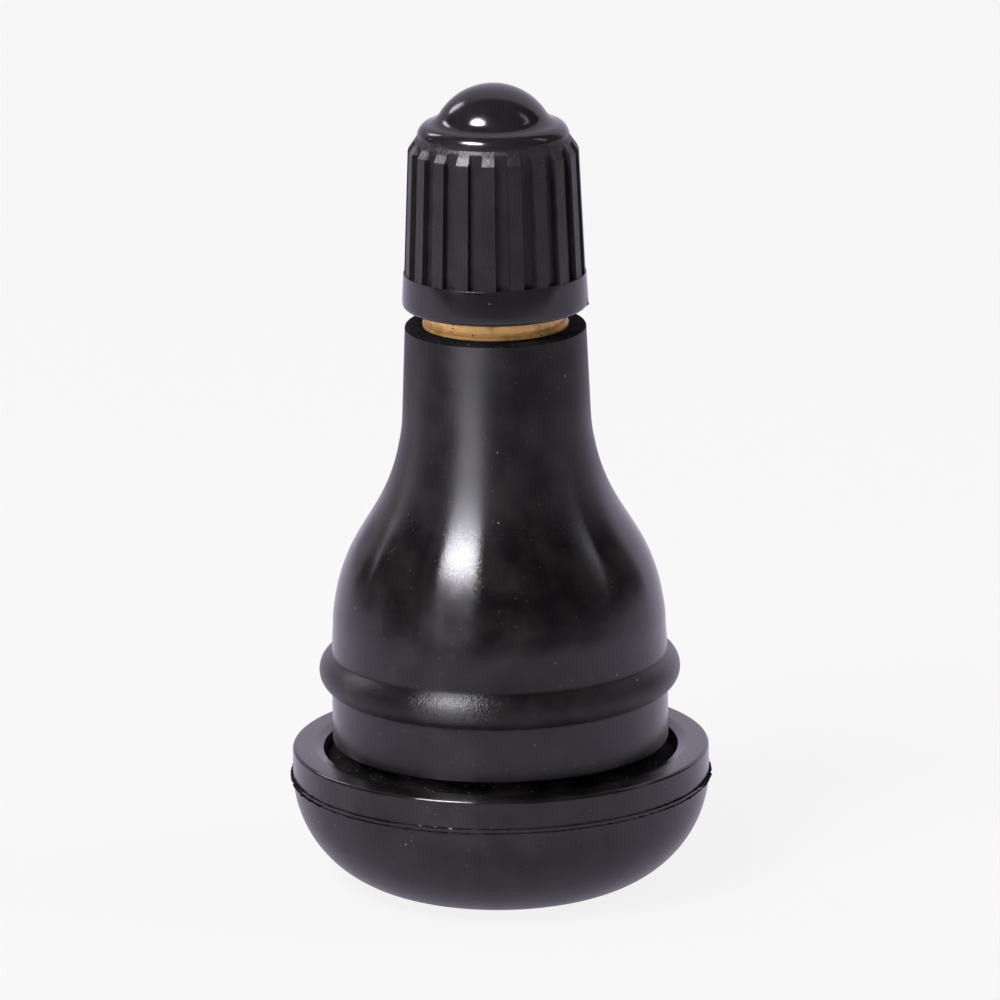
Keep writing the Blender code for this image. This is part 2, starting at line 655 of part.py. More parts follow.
def valve_cap(parts, cutters, parent, materials):
    """The cap: a turned shell with a smooth band at its mouth, whose side is cut into ribs."""
    band_top = CAP_MOUTH + BAND_HEIGHT
    crest_foot = CAP_RADIUS - BAND_HEIGHT * math.tan(CAP_DRAFT) - BAND_LEDGE
    rib_end = CAP_ROOF - RIB_END_DEPTH
    crest_end = crest_foot - (rib_end - band_top) * math.tan(CAP_DRAFT)
    mouth = (CAP_RADIUS - CAP_MOUTH_ROUND, CAP_MOUTH + CAP_MOUTH_ROUND)
    seal_room = STEM_THREAD_RADIUS - RUN_CLEARANCE + SEAT_GAP
    room_foot = MOUTH_LEVEL - SEAL_GRIP
    crown_room = CROWN_ROUND - CROWN_WALL
    crown_level = CROWN_TOP - CROWN_ROUND
    room_edge = math.sqrt(crown_room**2 - (CAP_ROOF - crown_level) ** 2)
    room_start = math.atan2(CAP_ROOF - crown_level, room_edge)
    outline = crown_outline(crest_end - SHOULDER_SET_IN)
    outline += [
        (crest_end - RIB_CHAMFER_RUN, rib_end + RIB_CHAMFER_HEIGHT),
        (crest_end, rib_end),
        (crest_foot, band_top),
        (crest_foot + BAND_LEDGE, band_top),
    ]
    outline += arc(mouth, CAP_MOUTH_ROUND, 0.0, -math.pi / 2)
    outline += [
        (CAP_BORE + CAP_MOUTH_CHAMFER, CAP_MOUTH),
        (CAP_BORE, CAP_MOUTH + CAP_MOUTH_CHAMFER),
        (CAP_BORE, room_foot),
        (seal_room, room_foot),
        (seal_room, CAP_ROOF),
    ]
    outline += arc((0.0, crown_level), crown_room, room_start, math.pi / 2)
    material = materials["cap_plastic"]
    cap = turned(
        parts, "valve_cap", outline, MOUTH_LEVEL, parent, material, CAP_SEGMENTS, closed=False
    )
    grooves = rib_grooves(crest_foot - RIB_PROUD, band_top, CAP_ROOF + SHOULDER_RISE)
    cut(cap, cutters, "rib_grooves", grooves)
    return cap


def rib_grooves(floor_radius, low, high):
    """Boxes that stand on the grooves' floor, which leans in with the cap's draft."""
    depth = RIB_PROUD + CUT_MARGIN
    length = (high - low) / math.cos(CAP_DRAFT)
    size = (depth, RIB_GROOVE_WIDTH, length)
    boxes = []
    for groove in range(RIB_COUNT):
        angle = -math.pi / 2 + RIB_PHASE + (groove + 0.5) * 2 * math.pi / RIB_COUNT
        place = Matrix.Rotation(angle, 4, "Z") @ Matrix.Translation((floor_radius, 0.0, low))
        place = place @ Matrix.Rotation(-CAP_DRAFT, 4, "Y")
        boxes.append((size, place @ Matrix.Translation((depth / 2, 0.0, length / 2))))
    return box_mesh("rib_grooves", boxes)


def shade_round(obj):
    """Gives an object its evaluated mesh, with smooth faces that stay sharp at the corners."""
    graph = bpy.context.evaluated_depsgraph_get()
    mesh = bpy.data.meshes.new_from_object(obj.evaluated_get(graph))
    obj.modifiers.clear()
    obj.data = mesh
    mesh.shade_smooth()
    mesh.set_sharp_from_angle(angle=SHARP_ANGLE)


def build():
    clear_scene()
    parts = new_collection("tyre_valve")
    cutters = new_collection("tyre_valve_cutters")
    materials = {name: new_material(name) for name in FINISHES}

    valve_axis = new_axis(parts, "valve_axis", 0.0)
    core_axis = new_axis(parts, "core_axis", MOUTH_LEVEL, valve_axis)
    cap_axis = new_axis(parts, "cap_axis", MOUTH_LEVEL, valve_axis)

    rubber_body(parts, valve_axis, materials)
    valve_stem(parts, valve_axis, materials)
    core_plug(parts, cutters, core_axis, materials)
    core_barrel(parts, core_axis, materials)
    barrel_gasket(parts, core_axis, materials)
    core_pin(parts, core_axis, materials)
    core_spring(parts, core_axis, materials)
    pin_cup(parts, core_axis, materials)
    cup_gasket(parts, core_axis, materials)
    cap_seal(parts, cap_axis, materials)
    valve_cap(parts, cutters, cap_axis, materials)

    for obj in parts.objects:
        if obj.type == "MESH":
            shade_round(obj)


if __name__ == "__main__":
    build()
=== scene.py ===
"""Looks of a snap-in rubber tyre valve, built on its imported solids.

Lengths are in millimetres until the mesh writer turns them into metres, and heights count from the
base. Every piece is turned about the vertical axis. Its outline is a line of (radius, height)
points that runs down the outer side and back up the inner side, and its surface is a sheet of
points, with rows along the outline and columns round the axis. BEYOND is a length that no part of
the valve reaches, and NOWHERE a pair of levels above it.
"""

import logging
import math
from collections.abc import Callable, Sequence
from dataclasses import dataclass
from enum import Enum

import bmesh
import bpy
import numpy as np
from mathutils import Matrix, Vector


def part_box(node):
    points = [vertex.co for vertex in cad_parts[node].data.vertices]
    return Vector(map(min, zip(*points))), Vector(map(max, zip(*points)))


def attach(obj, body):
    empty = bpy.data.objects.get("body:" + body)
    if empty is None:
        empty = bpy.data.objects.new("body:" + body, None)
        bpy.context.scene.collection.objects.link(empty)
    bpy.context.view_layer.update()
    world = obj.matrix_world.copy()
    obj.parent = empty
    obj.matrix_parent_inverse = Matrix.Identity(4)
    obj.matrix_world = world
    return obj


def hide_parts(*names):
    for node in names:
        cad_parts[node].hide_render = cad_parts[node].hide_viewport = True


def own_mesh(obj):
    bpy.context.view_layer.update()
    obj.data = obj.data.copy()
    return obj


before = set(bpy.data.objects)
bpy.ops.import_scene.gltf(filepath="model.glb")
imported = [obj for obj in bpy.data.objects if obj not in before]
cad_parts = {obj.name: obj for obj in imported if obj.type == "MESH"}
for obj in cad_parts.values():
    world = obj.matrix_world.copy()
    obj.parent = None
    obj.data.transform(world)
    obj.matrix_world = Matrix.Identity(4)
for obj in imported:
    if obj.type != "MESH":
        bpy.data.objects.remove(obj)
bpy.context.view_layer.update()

MILLIMETRE = 0.001
ARC_TOLERANCE = 0.0012
WIDEST_STEP = math.radians(20)
MERGE_DISTANCE = 0.0001
SHARP_ANGLE = math.radians(38)
NEARLY_STRAIGHT = 0.01
EASE_STEPS = 2001
LEVEL_SLACK = 0.5
FULL_TURN = 2 * math.pi
BEYOND = 99.0

LOG = logging.getLogger("tyre_valve")

Point = tuple[float, float]
Corner = tuple[float, float, float]
Colour = tuple[float, float, float]
Socket = bpy.types.NodeSocket
Sockets = bpy.types.bpy_prop_collection

NOWHERE: Point = (BEYOND - 1.0, BEYOND)


class Body(Enum):
    """The bodies that pieces ride on."""

    VALVE = "valve"
    SEAL = "seal"
    CAP = "cap"
    CORE = "core"
    PLUG = "plug"
    PIN = "pin"


class Slot(Enum):
    """The material slots of the record."""

    RUBBER = "rubber"
    BRASS = "brass"
    CAP_PLASTIC = "cap_plastic"
    SEAL_RUBBER = "seal_rubber"
    GASKET_RED = "gasket_red"
    SPRING_STEEL = "spring_steel"


class Run(Enum):
    """The way in which a wall's rows follow each other."""

    DOWN = -1
    UP = 1


# Lines in the (radius, height) plane


def arc(centre: Point, radius: float, start: float, end: float) -> np.ndarray:
    """A round arc: centre + radius (cos a, sin a), with a in even steps.

    Args:
        centre: The arc's centre.
        radius: Its radius.
        start: The first angle, in radians.
        end: The last angle.

    Returns:
        The points, in rows of (radius, height), close enough to stay within ARC_TOLERANCE.
    """
    span = 2 * math.acos(max(1 - ARC_TOLERANCE / radius, 0.0))
    steps = max(math.ceil(abs(end - start) / min(span, WIDEST_STEP)), 2)
    angles = np.linspace(start, end, steps + 1)
    return np.array(centre) + radius * np.column_stack([np.cos(angles), np.sin(angles)])


def bulged(start: Point, end: Point, rise: float) -> np.ndarray:
    """A round arc between two points, whose middle lies `rise` to the left of the chord.

    The radius is chord squared over eight rises, plus half a rise.

    Args:
        start: The first point.
        end: The last point.
        rise: How far the arc bulges.

    Returns:
        The arc's points.
    """
    run = np.subtract(end, start)
    chord = math.hypot(*run)
    radius = chord**2 / (8 * rise) + rise / 2
    aside = np.array([run[1], -run[0]]) * (radius - rise) / chord
    centre = (np.add(start, end) / 2 + aside).tolist()
    first = math.atan2(start[1] - centre[1], start[0] - centre[0])
    last = math.atan2(end[1] - centre[1], end[0] - centre[0])
    return arc(tuple(centre), radius, first, last)


def filleted(corners: Sequence[Corner]) -> np.ndarray:
    """A line through corners that are rounded off.

    A corner's arc starts fillet / tan(half its angle) before it, and its centre lies
    fillet / sin(half its angle) from the corner on the bisector.

    Args:
        corners: Radius, height and fillet radius of each corner. Both ends' fillets are left out.

    Returns:
        The rounded line's points.
    """
    points = np.array([corner[:2] for corner in corners], float)
    runs = [points[:1]]
    for before, corner, after, (_, _, fillet) in zip(points, points[1:], points[2:], corners[1:-1]):
        back = (before - corner) / np.linalg.norm(before - corner)
        ahead = (after - corner) / np.linalg.norm(after - corner)
        half = math.acos(float(np.clip(back @ ahead, -1, 1))) / 2
        if fillet <= 0 or half > math.pi / 2 - NEARLY_STRAIGHT:
            runs.append(corner[None])
            continue
        centre = corner + (back + ahead) / np.linalg.norm(back + ahead) * fillet / math.sin(half)
        first = corner + back * fillet / math.tan(half) - centre
        last = corner + ahead * fillet / math.tan(half) - centre
        start = math.atan2(first[1], first[0])
        sweep = math.remainder(math.atan2(last[1], last[0]) - start, FULL_TURN)
        runs.append(arc(tuple(centre), fillet, start, start + sweep))
    return np.concatenate([*runs, points[-1:]])


def eased(line: np.ndarray, width: float) -> np.ndarray:
    """Softens the joints of a line whose curvature jumps there.

    The line is walked in fine equal steps, and each step's point moves to the mean of the points
    within half the width on both sides, over a span that narrows to nothing at the line's ends.

    Args:
        line: The line, radius and height by row.
        width: The full span, in millimetres.

    Returns:
        The softened line, with as many points as before.
    """
    walked = np.concatenate([[0.0], np.cumsum(np.hypot(*np.diff(line, axis=0).T))])
    steps = np.linspace(0.0, walked[-1], EASE_STEPS)
    fine = np.stack([np.interp(steps, walked, column) for column in line.T], axis=1)
    index = np.arange(EASE_STEPS)
    span = np.minimum(np.minimum(index, EASE_STEPS - 1 - index), int(width / 2 / steps[1]))
    total = np.concatenate([np.zeros((1, 2)), np.cumsum(fine, axis=0)])
    mean = (total[index + span + 1] - total[index - span]) / (2 * span + 1)[:, None]
    return mean[np.linspace(0, EASE_STEPS - 1, len(line)).round().astype(int)]


# Sheets of points round the axis


def ring_angles(columns: int) -> np.ndarray:
    """Even angles from 0 to a full turn, both ends included."""
    return np.linspace(0.0, FULL_TURN, columns + 1)


def ring_noise(columns: int, slowest: int, fastest: int, seed: int) -> np.ndarray:
    """Noise round a ring, from -1 to 1, that ends where it starts.

    It is a sum of waves with `slowest` to `fastest` periods round the ring. Each has a seeded phase
    and a height of one over the root of its number of periods.

    Args:
        columns: Steps round the ring.
        slowest: Periods of the longest wave.
        fastest: Periods of the shortest wave.
        seed: Seed of the phases.

    Returns:
        One value for each of the columns, and the first again.
    """
    waves = np.arange(slowest, fastest + 1)
    phases = np.random.default_rng(seed).uniform(0, FULL_TURN, waves.size)
    spectrum = np.zeros(columns // 2 + 1, complex)
    spectrum[waves] = waves**-0.5 * np.exp(1j * phases)
    noise = np.fft.irfft(spectrum, columns)
    return np.append(noise, noise[0]) / np.abs(noise).max()


def smooth_share(value: np.ndarray, low: float, high: float) -> np.ndarray:
    """0 below `low`, 1 above `high`, and 3t squared less 2t cubed between them."""
    t = np.clip((value - low) / (high - low), 0.0, 1.0)
    return t * t * (3 - 2 * t)


def placed(radius: np.ndarray, height: np.ndarray, angle: np.ndarray) -> np.ndarray:
    """Points at x = radius cos angle, y = radius sin angle, z = height, in one array of three."""
    radius, height, angle = np.broadcast_arrays(radius, height, angle)
    return np.stack([radius * np.cos(angle), radius * np.sin(angle), height], axis=-1)


def turned(line: np.ndarray, angles: np.ndarray) -> np.ndarray:
    """The sheet that a line sweeps as it turns about the axis."""
    return placed(line[:, :1], line[:, 1:], angles[None])


@dataclass(frozen=True)
class Thread:
    """A right-hand screw thread, whose form depends on height / pitch less angle / full turn.

    Attributes:
        pitch: Height of one turn.
        root: Radius where that phase is 0.
        crest: Radius where it is a half.
        root_flat: Share of the half pitch that stays at the root.
        crest_flat: Share of the half pitch that stays at the crest.
        rows: Rows in one pitch.
    """

    pitch: float
    root: float
    crest: float
    root_flat: float = 0.2
    crest_flat: float = 0.16
    rows: int = 12

    def radius(self, height: np.ndarray, angle: np.ndarray) -> np.ndarray:
        """Radius of the thread's form: a triangle wave of the phase, cut off at both flats.

        Args:
            height: Heights.
            angle: Angles, of a matching shape.

        Returns:
            The radii.
        """
        phase = np.mod(height / self.pitch - angle / FULL_TURN, 1.0)
        wave = 1 - np.abs(2 * phase - 1)
        share = np.clip((wave - self.root_flat) / (1 - self.root_flat - self.crest_flat), 0.0, 1.0)
        return self.root + (self.crest - self.root) * share

    def wall(
        self,
        low: float,
        high: float,
        angles: np.ndarray,
        run: Run,
        limit: Callable[[np.ndarray, np.ndarray], np.ndarray],
    ) -> np.ndarray:
        """Rows that climb with the helix, at height pitch (row / rows + angle / full turn).

        Rows that would leave the thread's length lie on its end, at one radius, and merge there.

        Args:
            low: Height of the lower end.
            high: Height of the upper end.
            angles: The columns' angles, over one full turn.
            run: Whether the rows run down or up.
            limit: Takes radii and heights, and gives the radii that the end chamfers leave.

        Returns:
            The sheet.
        """
        first = math.floor(low / self.pitch - angles[-1] / FULL_TURN)
        last = math.ceil(high / self.pitch - angles[0] / FULL_TURN)
        turns = np.linspace(first, last, (last - first) * self.rows + 1)
        level = self.pitch * (turns[:, None] + angles[None] / FULL_TURN)
        height = np.clip(level, low, high)
        radius = limit(self.radius(height, angles[None]), height)
        return placed(radius, height, angles[None])[:: run.value]


def closed(sheets: Sequence[np.ndarray]) -> np.ndarray:
    """Sheets joined row to row, with the first row again at the end."""
    return np.concatenate([*sheets, sheets[0][:1]])


# The mesh writer and what it takes from the frame


def heights(node: str) -> Point:
    """A node's lowest and highest point, in millimetres."""
    low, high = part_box(node)
    return low.z / MILLIMETRE, high.z / MILLIMETRE


def reach(node: str) -> float:
    """A node's radius about the axis, in millimetres."""
    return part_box(node)[1].x / MILLIMETRE


def reach_near(node: str, level: float) -> float:
    """A node's widest radius within LEVEL_SLACK of a level.

    Args:
        node: The node.
        level: The level, in millimetres.

    Returns:
        The radius, in millimetres.
    """
    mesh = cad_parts[node].data
    points = np.empty(len(mesh.vertices) * 3)
    mesh.vertices.foreach_get("co", points)
    x, y, z = points.reshape(-1, 3).T / MILLIMETRE
    return float(np.hypot(x, y)[np.abs(z - level) < LEVEL_SLACK].max())


def add_object(name: str, data: bpy.types.ID) -> bpy.types.Object:
    """Puts a mesh, a camera or a lamp into the scene as an object."""
    obj = bpy.data.objects.new(name, data)
    bpy.context.scene.collection.objects.link(obj)
    return obj


def new_object(name: str, sheets: Sequence[np.ndarray]) -> bpy.types.Object:
    """Writes sheets into one mesh and merges points that meet, which closes seams, poles and ends.

    Corner (i, j) of a sheet joins (i + 1, j), (i + 1, j + 1) and (i, j + 1), so a face looks away
    from the axis where the rows run down.

    Args:
        name: Name of the object.
        sheets: Arrays of rows, columns and three coordinates in millimetres.

    Returns:
        The new object, smooth but for its sharp edges.
    """
    points, faces, start = [], [], 0
    for sheet in sheets:
        index = start + np.arange(sheet.shape[0] * sheet.shape[1]).reshape(sheet.shape[:2])
        quads = [index[:-1, :-1], index[1:, :-1], index[1:, 1:], index[:-1, 1:]]
        faces.append(np.stack(quads, axis=-1).reshape(-1, 4))
        points.append(sheet.reshape(-1, 3) * MILLIMETRE)
        start += index.size
    mesh = bpy.data.meshes.new(name)
    mesh.from_pydata(np.concatenate(points), [], np.concatenate(faces))
    shape = bmesh.new()
    shape.from_mesh(mesh)
    bmesh.ops.remove_doubles(shape, verts=shape.verts, dist=MERGE_DISTANCE * MILLIMETRE)
    shape.to_mesh(mesh)
    shape.free()
    smooth(mesh)
    return add_object(name, mesh)


def smooth(mesh: bpy.types.Mesh) -> None:
    """Shades a mesh smooth, apart from edges over SHARP_ANGLE."""
    mesh.shade_smooth()
    mesh.set_sharp_from_angle(angle=SHARP_ANGLE)


def seat(
    obj: bpy.types.Object, body: Body, slot: Slot, material: bpy.types.Material, *nodes: str
) -> bpy.types.Object:
    """Gives a piece its body and its material, and reports it.

    Args:
        obj: The piece.
        body: The body that it rides on.
        slot: The record's slot that it takes its finish from; not used.
        material: Its material.
        nodes: The nodes that it stands for.

    Returns:
        The piece.
    """
    obj.data.materials.clear()
    obj.data.materials.append(material)
    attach(obj, body.value)
    if nodes:
        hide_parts(*nodes)
    LOG.info("%s: %d faces on body %s", obj.name, len(obj.data.polygons), body.value)
    return obj


def repaint(
    obj: bpy.types.Object, material: bpy.types.Material, rings: Sequence[tuple[Point, Point]]
) -> None:
    """Gives the faces of some rings of a turned piece another material.

    Args:
        obj: The piece.
        material: The material.
        rings: Low and high radius, and low and high level, of each ring, in millimetres.
    """
    obj.data.materials.append(material)
    faces = obj.data.polygons
    centres = np.empty(3 * len(faces))
    faces.foreach_get("center", centres)
    centres = centres.reshape(-1, 3) / MILLIMETRE
    radius, height = np.hypot(centres[:, 0], centres[:, 1]), centres[:, 2]
    inside = np.zeros(len(faces), dtype=bool)
    for (inner, outer), (low, high) in rings:
        inside |= (radius > inner) & (radius < outer) & (height > low) & (height < high)
    faces.foreach_set("material_index", inside.astype(np.int32))


# Shader nodes


class Wiring:
    """Adds shader nodes to a tree. An input given a socket is joined, and any other is set."""

    def __init__(self, tree: bpy.types.NodeTree) -> None:
        """Keeps the tree that the nodes go into."""
        self.tree = tree

    def feed(self, socket: Socket, value: object) -> None:
        """Joins a socket to an input, or sets the input's value.

        Args:
            socket: The input.
            value: An output socket, a number, a vector, or a colour as red, green and blue.
        """
        if isinstance(value, Socket):
            self.tree.links.new(value, socket)
        elif socket.type == "RGBA":
            socket.default_value = (*value, 1.0)
        else:
            socket.default_value = value

    def node(self, kind: str, inputs: dict | None = None, **settings: object) -> bpy.types.Node:
        """Adds a node.

        Args:
            kind: Its type's name.
            inputs: Values or sockets for its inputs, by name or place.
            settings: Values for its own properties.

        Returns:
            The node.
        """
        made = self.tree.nodes.new(kind)
        for name, value in settings.items():
            setattr(made, name, value)
        for key, value in (inputs or {}).items():
            self.feed(made.inputs[key], value)
        return made

    def math(self, operation: str, *values: object) -> Socket:
        """A Math node's result. The values are numbers or sockets, in the order of its inputs."""
        return self.node("ShaderNodeMath", dict(enumerate(values)), operation=operation).outputs[0]

    def vector(self, operation: str, *values: object) -> Socket:
        """A Vector Math node's result, which is a number for a length or a dot product."""
        made = self.node("ShaderNodeVectorMath", dict(enumerate(values)), operation=operation)
        return made.outputs["Value" if operation in ("LENGTH", "DOT_PRODUCT") else "Vector"]

    def axes(self, place: object) -> Sockets:
        """A vector's three coordinates."""
        return self.node("ShaderNodeSeparateXYZ", {0: place}).outputs

    def between(
        self,
        value: object,
        low: object,
        high: object,
        start: float = 0.0,
        end: float = 1.0,
        kind: str = "SMOOTHSTEP",
    ) -> Socket:
        """Maps a value from one range to another.

        Args:
            value: The value.
            low: Where the result is `start`.
            high: Where it is `end`.
            start: Result at and beyond `low`.
            end: Result at and beyond `high`.
            kind: The node's kind of interpolation.

        Returns:
            The output socket.
        """
        inputs = {"Value": value, "From Min": low, "From Max": high, "To Min": start, "To Max": end}
        made = self.node("ShaderNodeMapRange", inputs, interpolation_type=kind)
        return made.outputs["Result"]

    def blend(self, share: object, first: object, second: object) -> Socket:
        """Mixes two colours.

        Args:
            share: How much of the second shows.
            first: The first colour.
            second: The second colour.

        Returns:
            The output socket.
        """
        made = self.node("ShaderNodeMix", data_type="RGBA")
        self.feed(made.inputs[0], share)
        self.feed(made.inputs[6], first)
        self.feed(made.inputs[7], second)
        return made.outputs[2]

    def object_place(self) -> Socket:
        """The shaded point in the object's own coordinates."""
        return self.node("ShaderNodeTexCoord").outputs["Object"]

    def round_place(self) -> tuple[Socket, Socket, Socket]:
        """The shaded point as radius, height and direction from the axis.

        Returns:
            The radius, the height, and the direction as a vector of length 1.
        """
        place = self.object_place()
        flat = self.vector("MULTIPLY", place, (1.0, 1.0, 0.0))
        return self.vector("LENGTH", flat), self.axes(place)[2], self.vector("NORMALIZE", flat)

    def band(self, value: object, low: float, high: float, edge: float) -> Socket:
        """1 where a length lies between two others, with soft ends.

        Args:
            value: The length in metres.
            low: The lower end, in millimetres.
            high: The upper end.
            edge: Half the width of the soft ends.

        Returns:
            The mask.
        """
        rise = self.between(value, (low - edge) * MILLIMETRE, (low + edge) * MILLIMETRE)
        fall = self.between(value, (high + edge) * MILLIMETRE, (high - edge) * MILLIMETRE)
        return self.math("MULTIPLY", rise, fall)

    def noise(self, place: object, scale: object, detail: float = 2.0) -> Socket:
        """A noise texture's value, with `scale` features in a metre and `detail` finer layers."""
        inputs = {"Vector": place, "Scale": scale, "Detail": detail}
        return self.node("ShaderNodeTexNoise", inputs).outputs["Fac"]

    def shared(self, effect: "Effect", inputs: dict | None = None) -> Socket:
        """Places a shared effect.

        Args:
            effect: The effect.
            inputs: Values for its inputs.

        Returns:
            Its result.
        """
        group = self.node("ShaderNodeGroup", node_tree=effect.tree())
        for key, value in (inputs or {}).items():
            self.feed(group.inputs[key], value)
        return group.outputs["Result"]


class Effect(Enum):
    """Shader node groups that several finishes share."""

    DUST = "dust"
    GRAIN = "grain"
    MOTTLE = "mottle"
    STREAKS = "streaks"
    TURNING = "turning"
    EDGES = "edges"
    PAINTED_RAYS = "painted_rays"

    def tree(self) -> bpy.types.NodeTree:
        """The effect's node group, made at its first use."""
        found = bpy.data.node_groups.get(self.value)
        return found or EFFECT_MAKERS[self](self.value)


def new_effect(name: str, inputs: dict[str, float]) -> tuple[Wiring, dict, Callable]:
    """Starts a node group with number inputs and one number output, Result.

    Args:
        name: Name of the group.
        inputs: Its inputs and their first values.

    Returns:
        The wiring, the group's input sockets by name, and a function that takes the result.
    """
    tree = bpy.data.node_groups.new(name, "ShaderNodeTree")
    for label, value in inputs.items():
        socket = tree.interface.new_socket(label, in_out="INPUT", socket_type="NodeSocketFloat")
        socket.default_value = value
    tree.interface.new_socket("Result", in_out="OUTPUT", socket_type="NodeSocketFloat")
    wiring = Wiring(tree)
    given = wiring.node("NodeGroupInput").outputs
    result = wiring.node("NodeGroupOutput").inputs["Result"]
    named = {label: given[label] for label in inputs}
    return wiring, named, lambda socket: wiring.feed(result, socket)


def dust_effect(name: str) -> bpy.types.NodeTree:
    """Small pale specks: round spots about the cells of a Voronoi texture, in a share of the cells.

    Args:
        name: Name of the group.

    Returns:
        The group.
    """
    wiring, given, finish = new_effect(name, {"Scale": 2500.0, "Size": 0.16, "Cover": 0.1})
    inputs = {"Vector": wiring.object_place(), "Scale": given["Scale"]}
    cells = wiring.node("ShaderNodeTexVoronoi", inputs)
    number = wiring.node("ShaderNodeSeparateColor", {"Color": cells.outputs["Color"]})
    chosen = wiring.math("LESS_THAN", number.outputs[0], given["Cover"])
    size = wiring.math("MULTIPLY", given["Size"], number.outputs[1])
    spot = wiring.math("LESS_THAN", cells.outputs["Distance"], size)
    finish(wiring.math("MULTIPLY", chosen, spot))
    return wiring.tree


def grain_effect(name: str) -> bpy.types.NodeTree:
    """The fine grain that a mould leaves: noise over two sizes.

    Args:
        name: Name of the group.

    Returns:
        The group.
    """
    wiring, given, finish = new_effect(name, {"Scale": 6000.0, "Coarse": 0.5})
    place = wiring.object_place()
    fine = wiring.noise(place, given["Scale"])
    wide = wiring.noise(place, wiring.math("MULTIPLY", given["Scale"], 0.35), 1.0)
    finish(wiring.math("MULTIPLY_ADD", wide, given["Coarse"], fine))
    return wiring.tree


def mottle_effect(name: str) -> bpy.types.NodeTree:
    """Broad soft patches from 0 to 1.

    Args:
        name: Name of the group.

    Returns:
        The group.
    """
    wiring, given, finish = new_effect(name, {"Scale": 250.0, "Low": 0.35, "High": 0.65})
    noise = wiring.noise(wiring.object_place(), given["Scale"], 4.0)
    finish(wiring.between(noise, given["Low"], given["High"], kind="LINEAR"))
    return wiring.tree


def streak_effect(name: str) -> bpy.types.NodeTree:
    """Streaks down the piece: noise over the angle about the axis, stretched along the height.

    The angle's sine and cosine place the noise, so that it meets itself behind the piece.

    Args:
        name: Name of the group.

    Returns:
        The group.
    """
    wiring, given, finish = new_effect(name, {"Count": 40.0, "Length": 0.004})
    _, height, away = wiring.round_place()
    axes = wiring.axes(away)
    inputs = {
        "X": wiring.math("MULTIPLY", axes[0], given["Count"]),
        "Y": wiring.math("MULTIPLY", axes[1], given["Count"]),
        "Z": wiring.math("DIVIDE", height, given["Length"]),
    }
    place = wiring.node("ShaderNodeCombineXYZ", inputs).outputs[0]
    finish(wiring.noise(place, 1.0))
    return wiring.tree


def turning_effect(name: str) -> bpy.types.NodeTree:
    """Fine rings that a lathe leaves: noise that changes with the height and the radius alone.

    Args:
        name: Name of the group.

    Returns:
        The group.
    """
    wiring, given, finish = new_effect(name, {"Scale": 14000.0})
    radius, height, _ = wiring.round_place()
    place = wiring.node("ShaderNodeCombineXYZ", {"X": radius, "Z": height}).outputs[0]
    finish(wiring.noise(place, given["Scale"]))
    return wiring.tree


def edge_effect(name: str) -> bpy.types.NodeTree:
    """Raised edges, found by how far the mesh points outwards.

    Args:
        name: Name of the group.

    Returns:
        The group.
    """
    wiring, given, finish = new_effect(name, {"Low": 0.51, "High": 0.58})
    pointed = wiring.node("ShaderNodeNewGeometry").outputs["Pointiness"]
    finish(wiring.between(pointed, given["Low"], given["High"], kind="LINEAR"))
    return wiring.tree


def painted_ray_effect(name: str) -> bpy.types.NodeTree:
    """Rays about a point: noise over the direction from it, which fades out with the distance.

    Args:
        name: Name of the group.

    Returns:
        The group.
    """
    inputs = {"X": 0.0, "Y": 0.0, "Z": 0.0, "Reach": 0.002, "Rays": 5.0}
    wiring, given, finish = new_effect(name, inputs)
    middle = wiring.node("ShaderNodeCombineXYZ", {axis: given[axis] for axis in "XYZ"}).outputs[0]
    apart = wiring.vector("SUBTRACT", wiring.object_place(), middle)
    direction = wiring.vector("NORMALIZE", apart)
    rays = wiring.between(wiring.noise(direction, given["Rays"]), 0.5, 0.66)
    fade = wiring.between(wiring.vector("LENGTH", apart), 0.0, given["Reach"], 1.0, 0.0, "LINEAR")
    finish(wiring.math("MULTIPLY", rays, wiring.math("MULTIPLY", fade, fade)))
    return wiring.tree


EFFECT_MAKERS = {
    Effect.DUST: dust_effect,
    Effect.GRAIN: grain_effect,
    Effect.MOTTLE: mottle_effect,
    Effect.STREAKS: streak_effect,
    Effect.TURNING: turning_effect,
    Effect.EDGES: edge_effect,
    Effect.PAINTED_RAYS: painted_ray_effect,
}


# Finishes


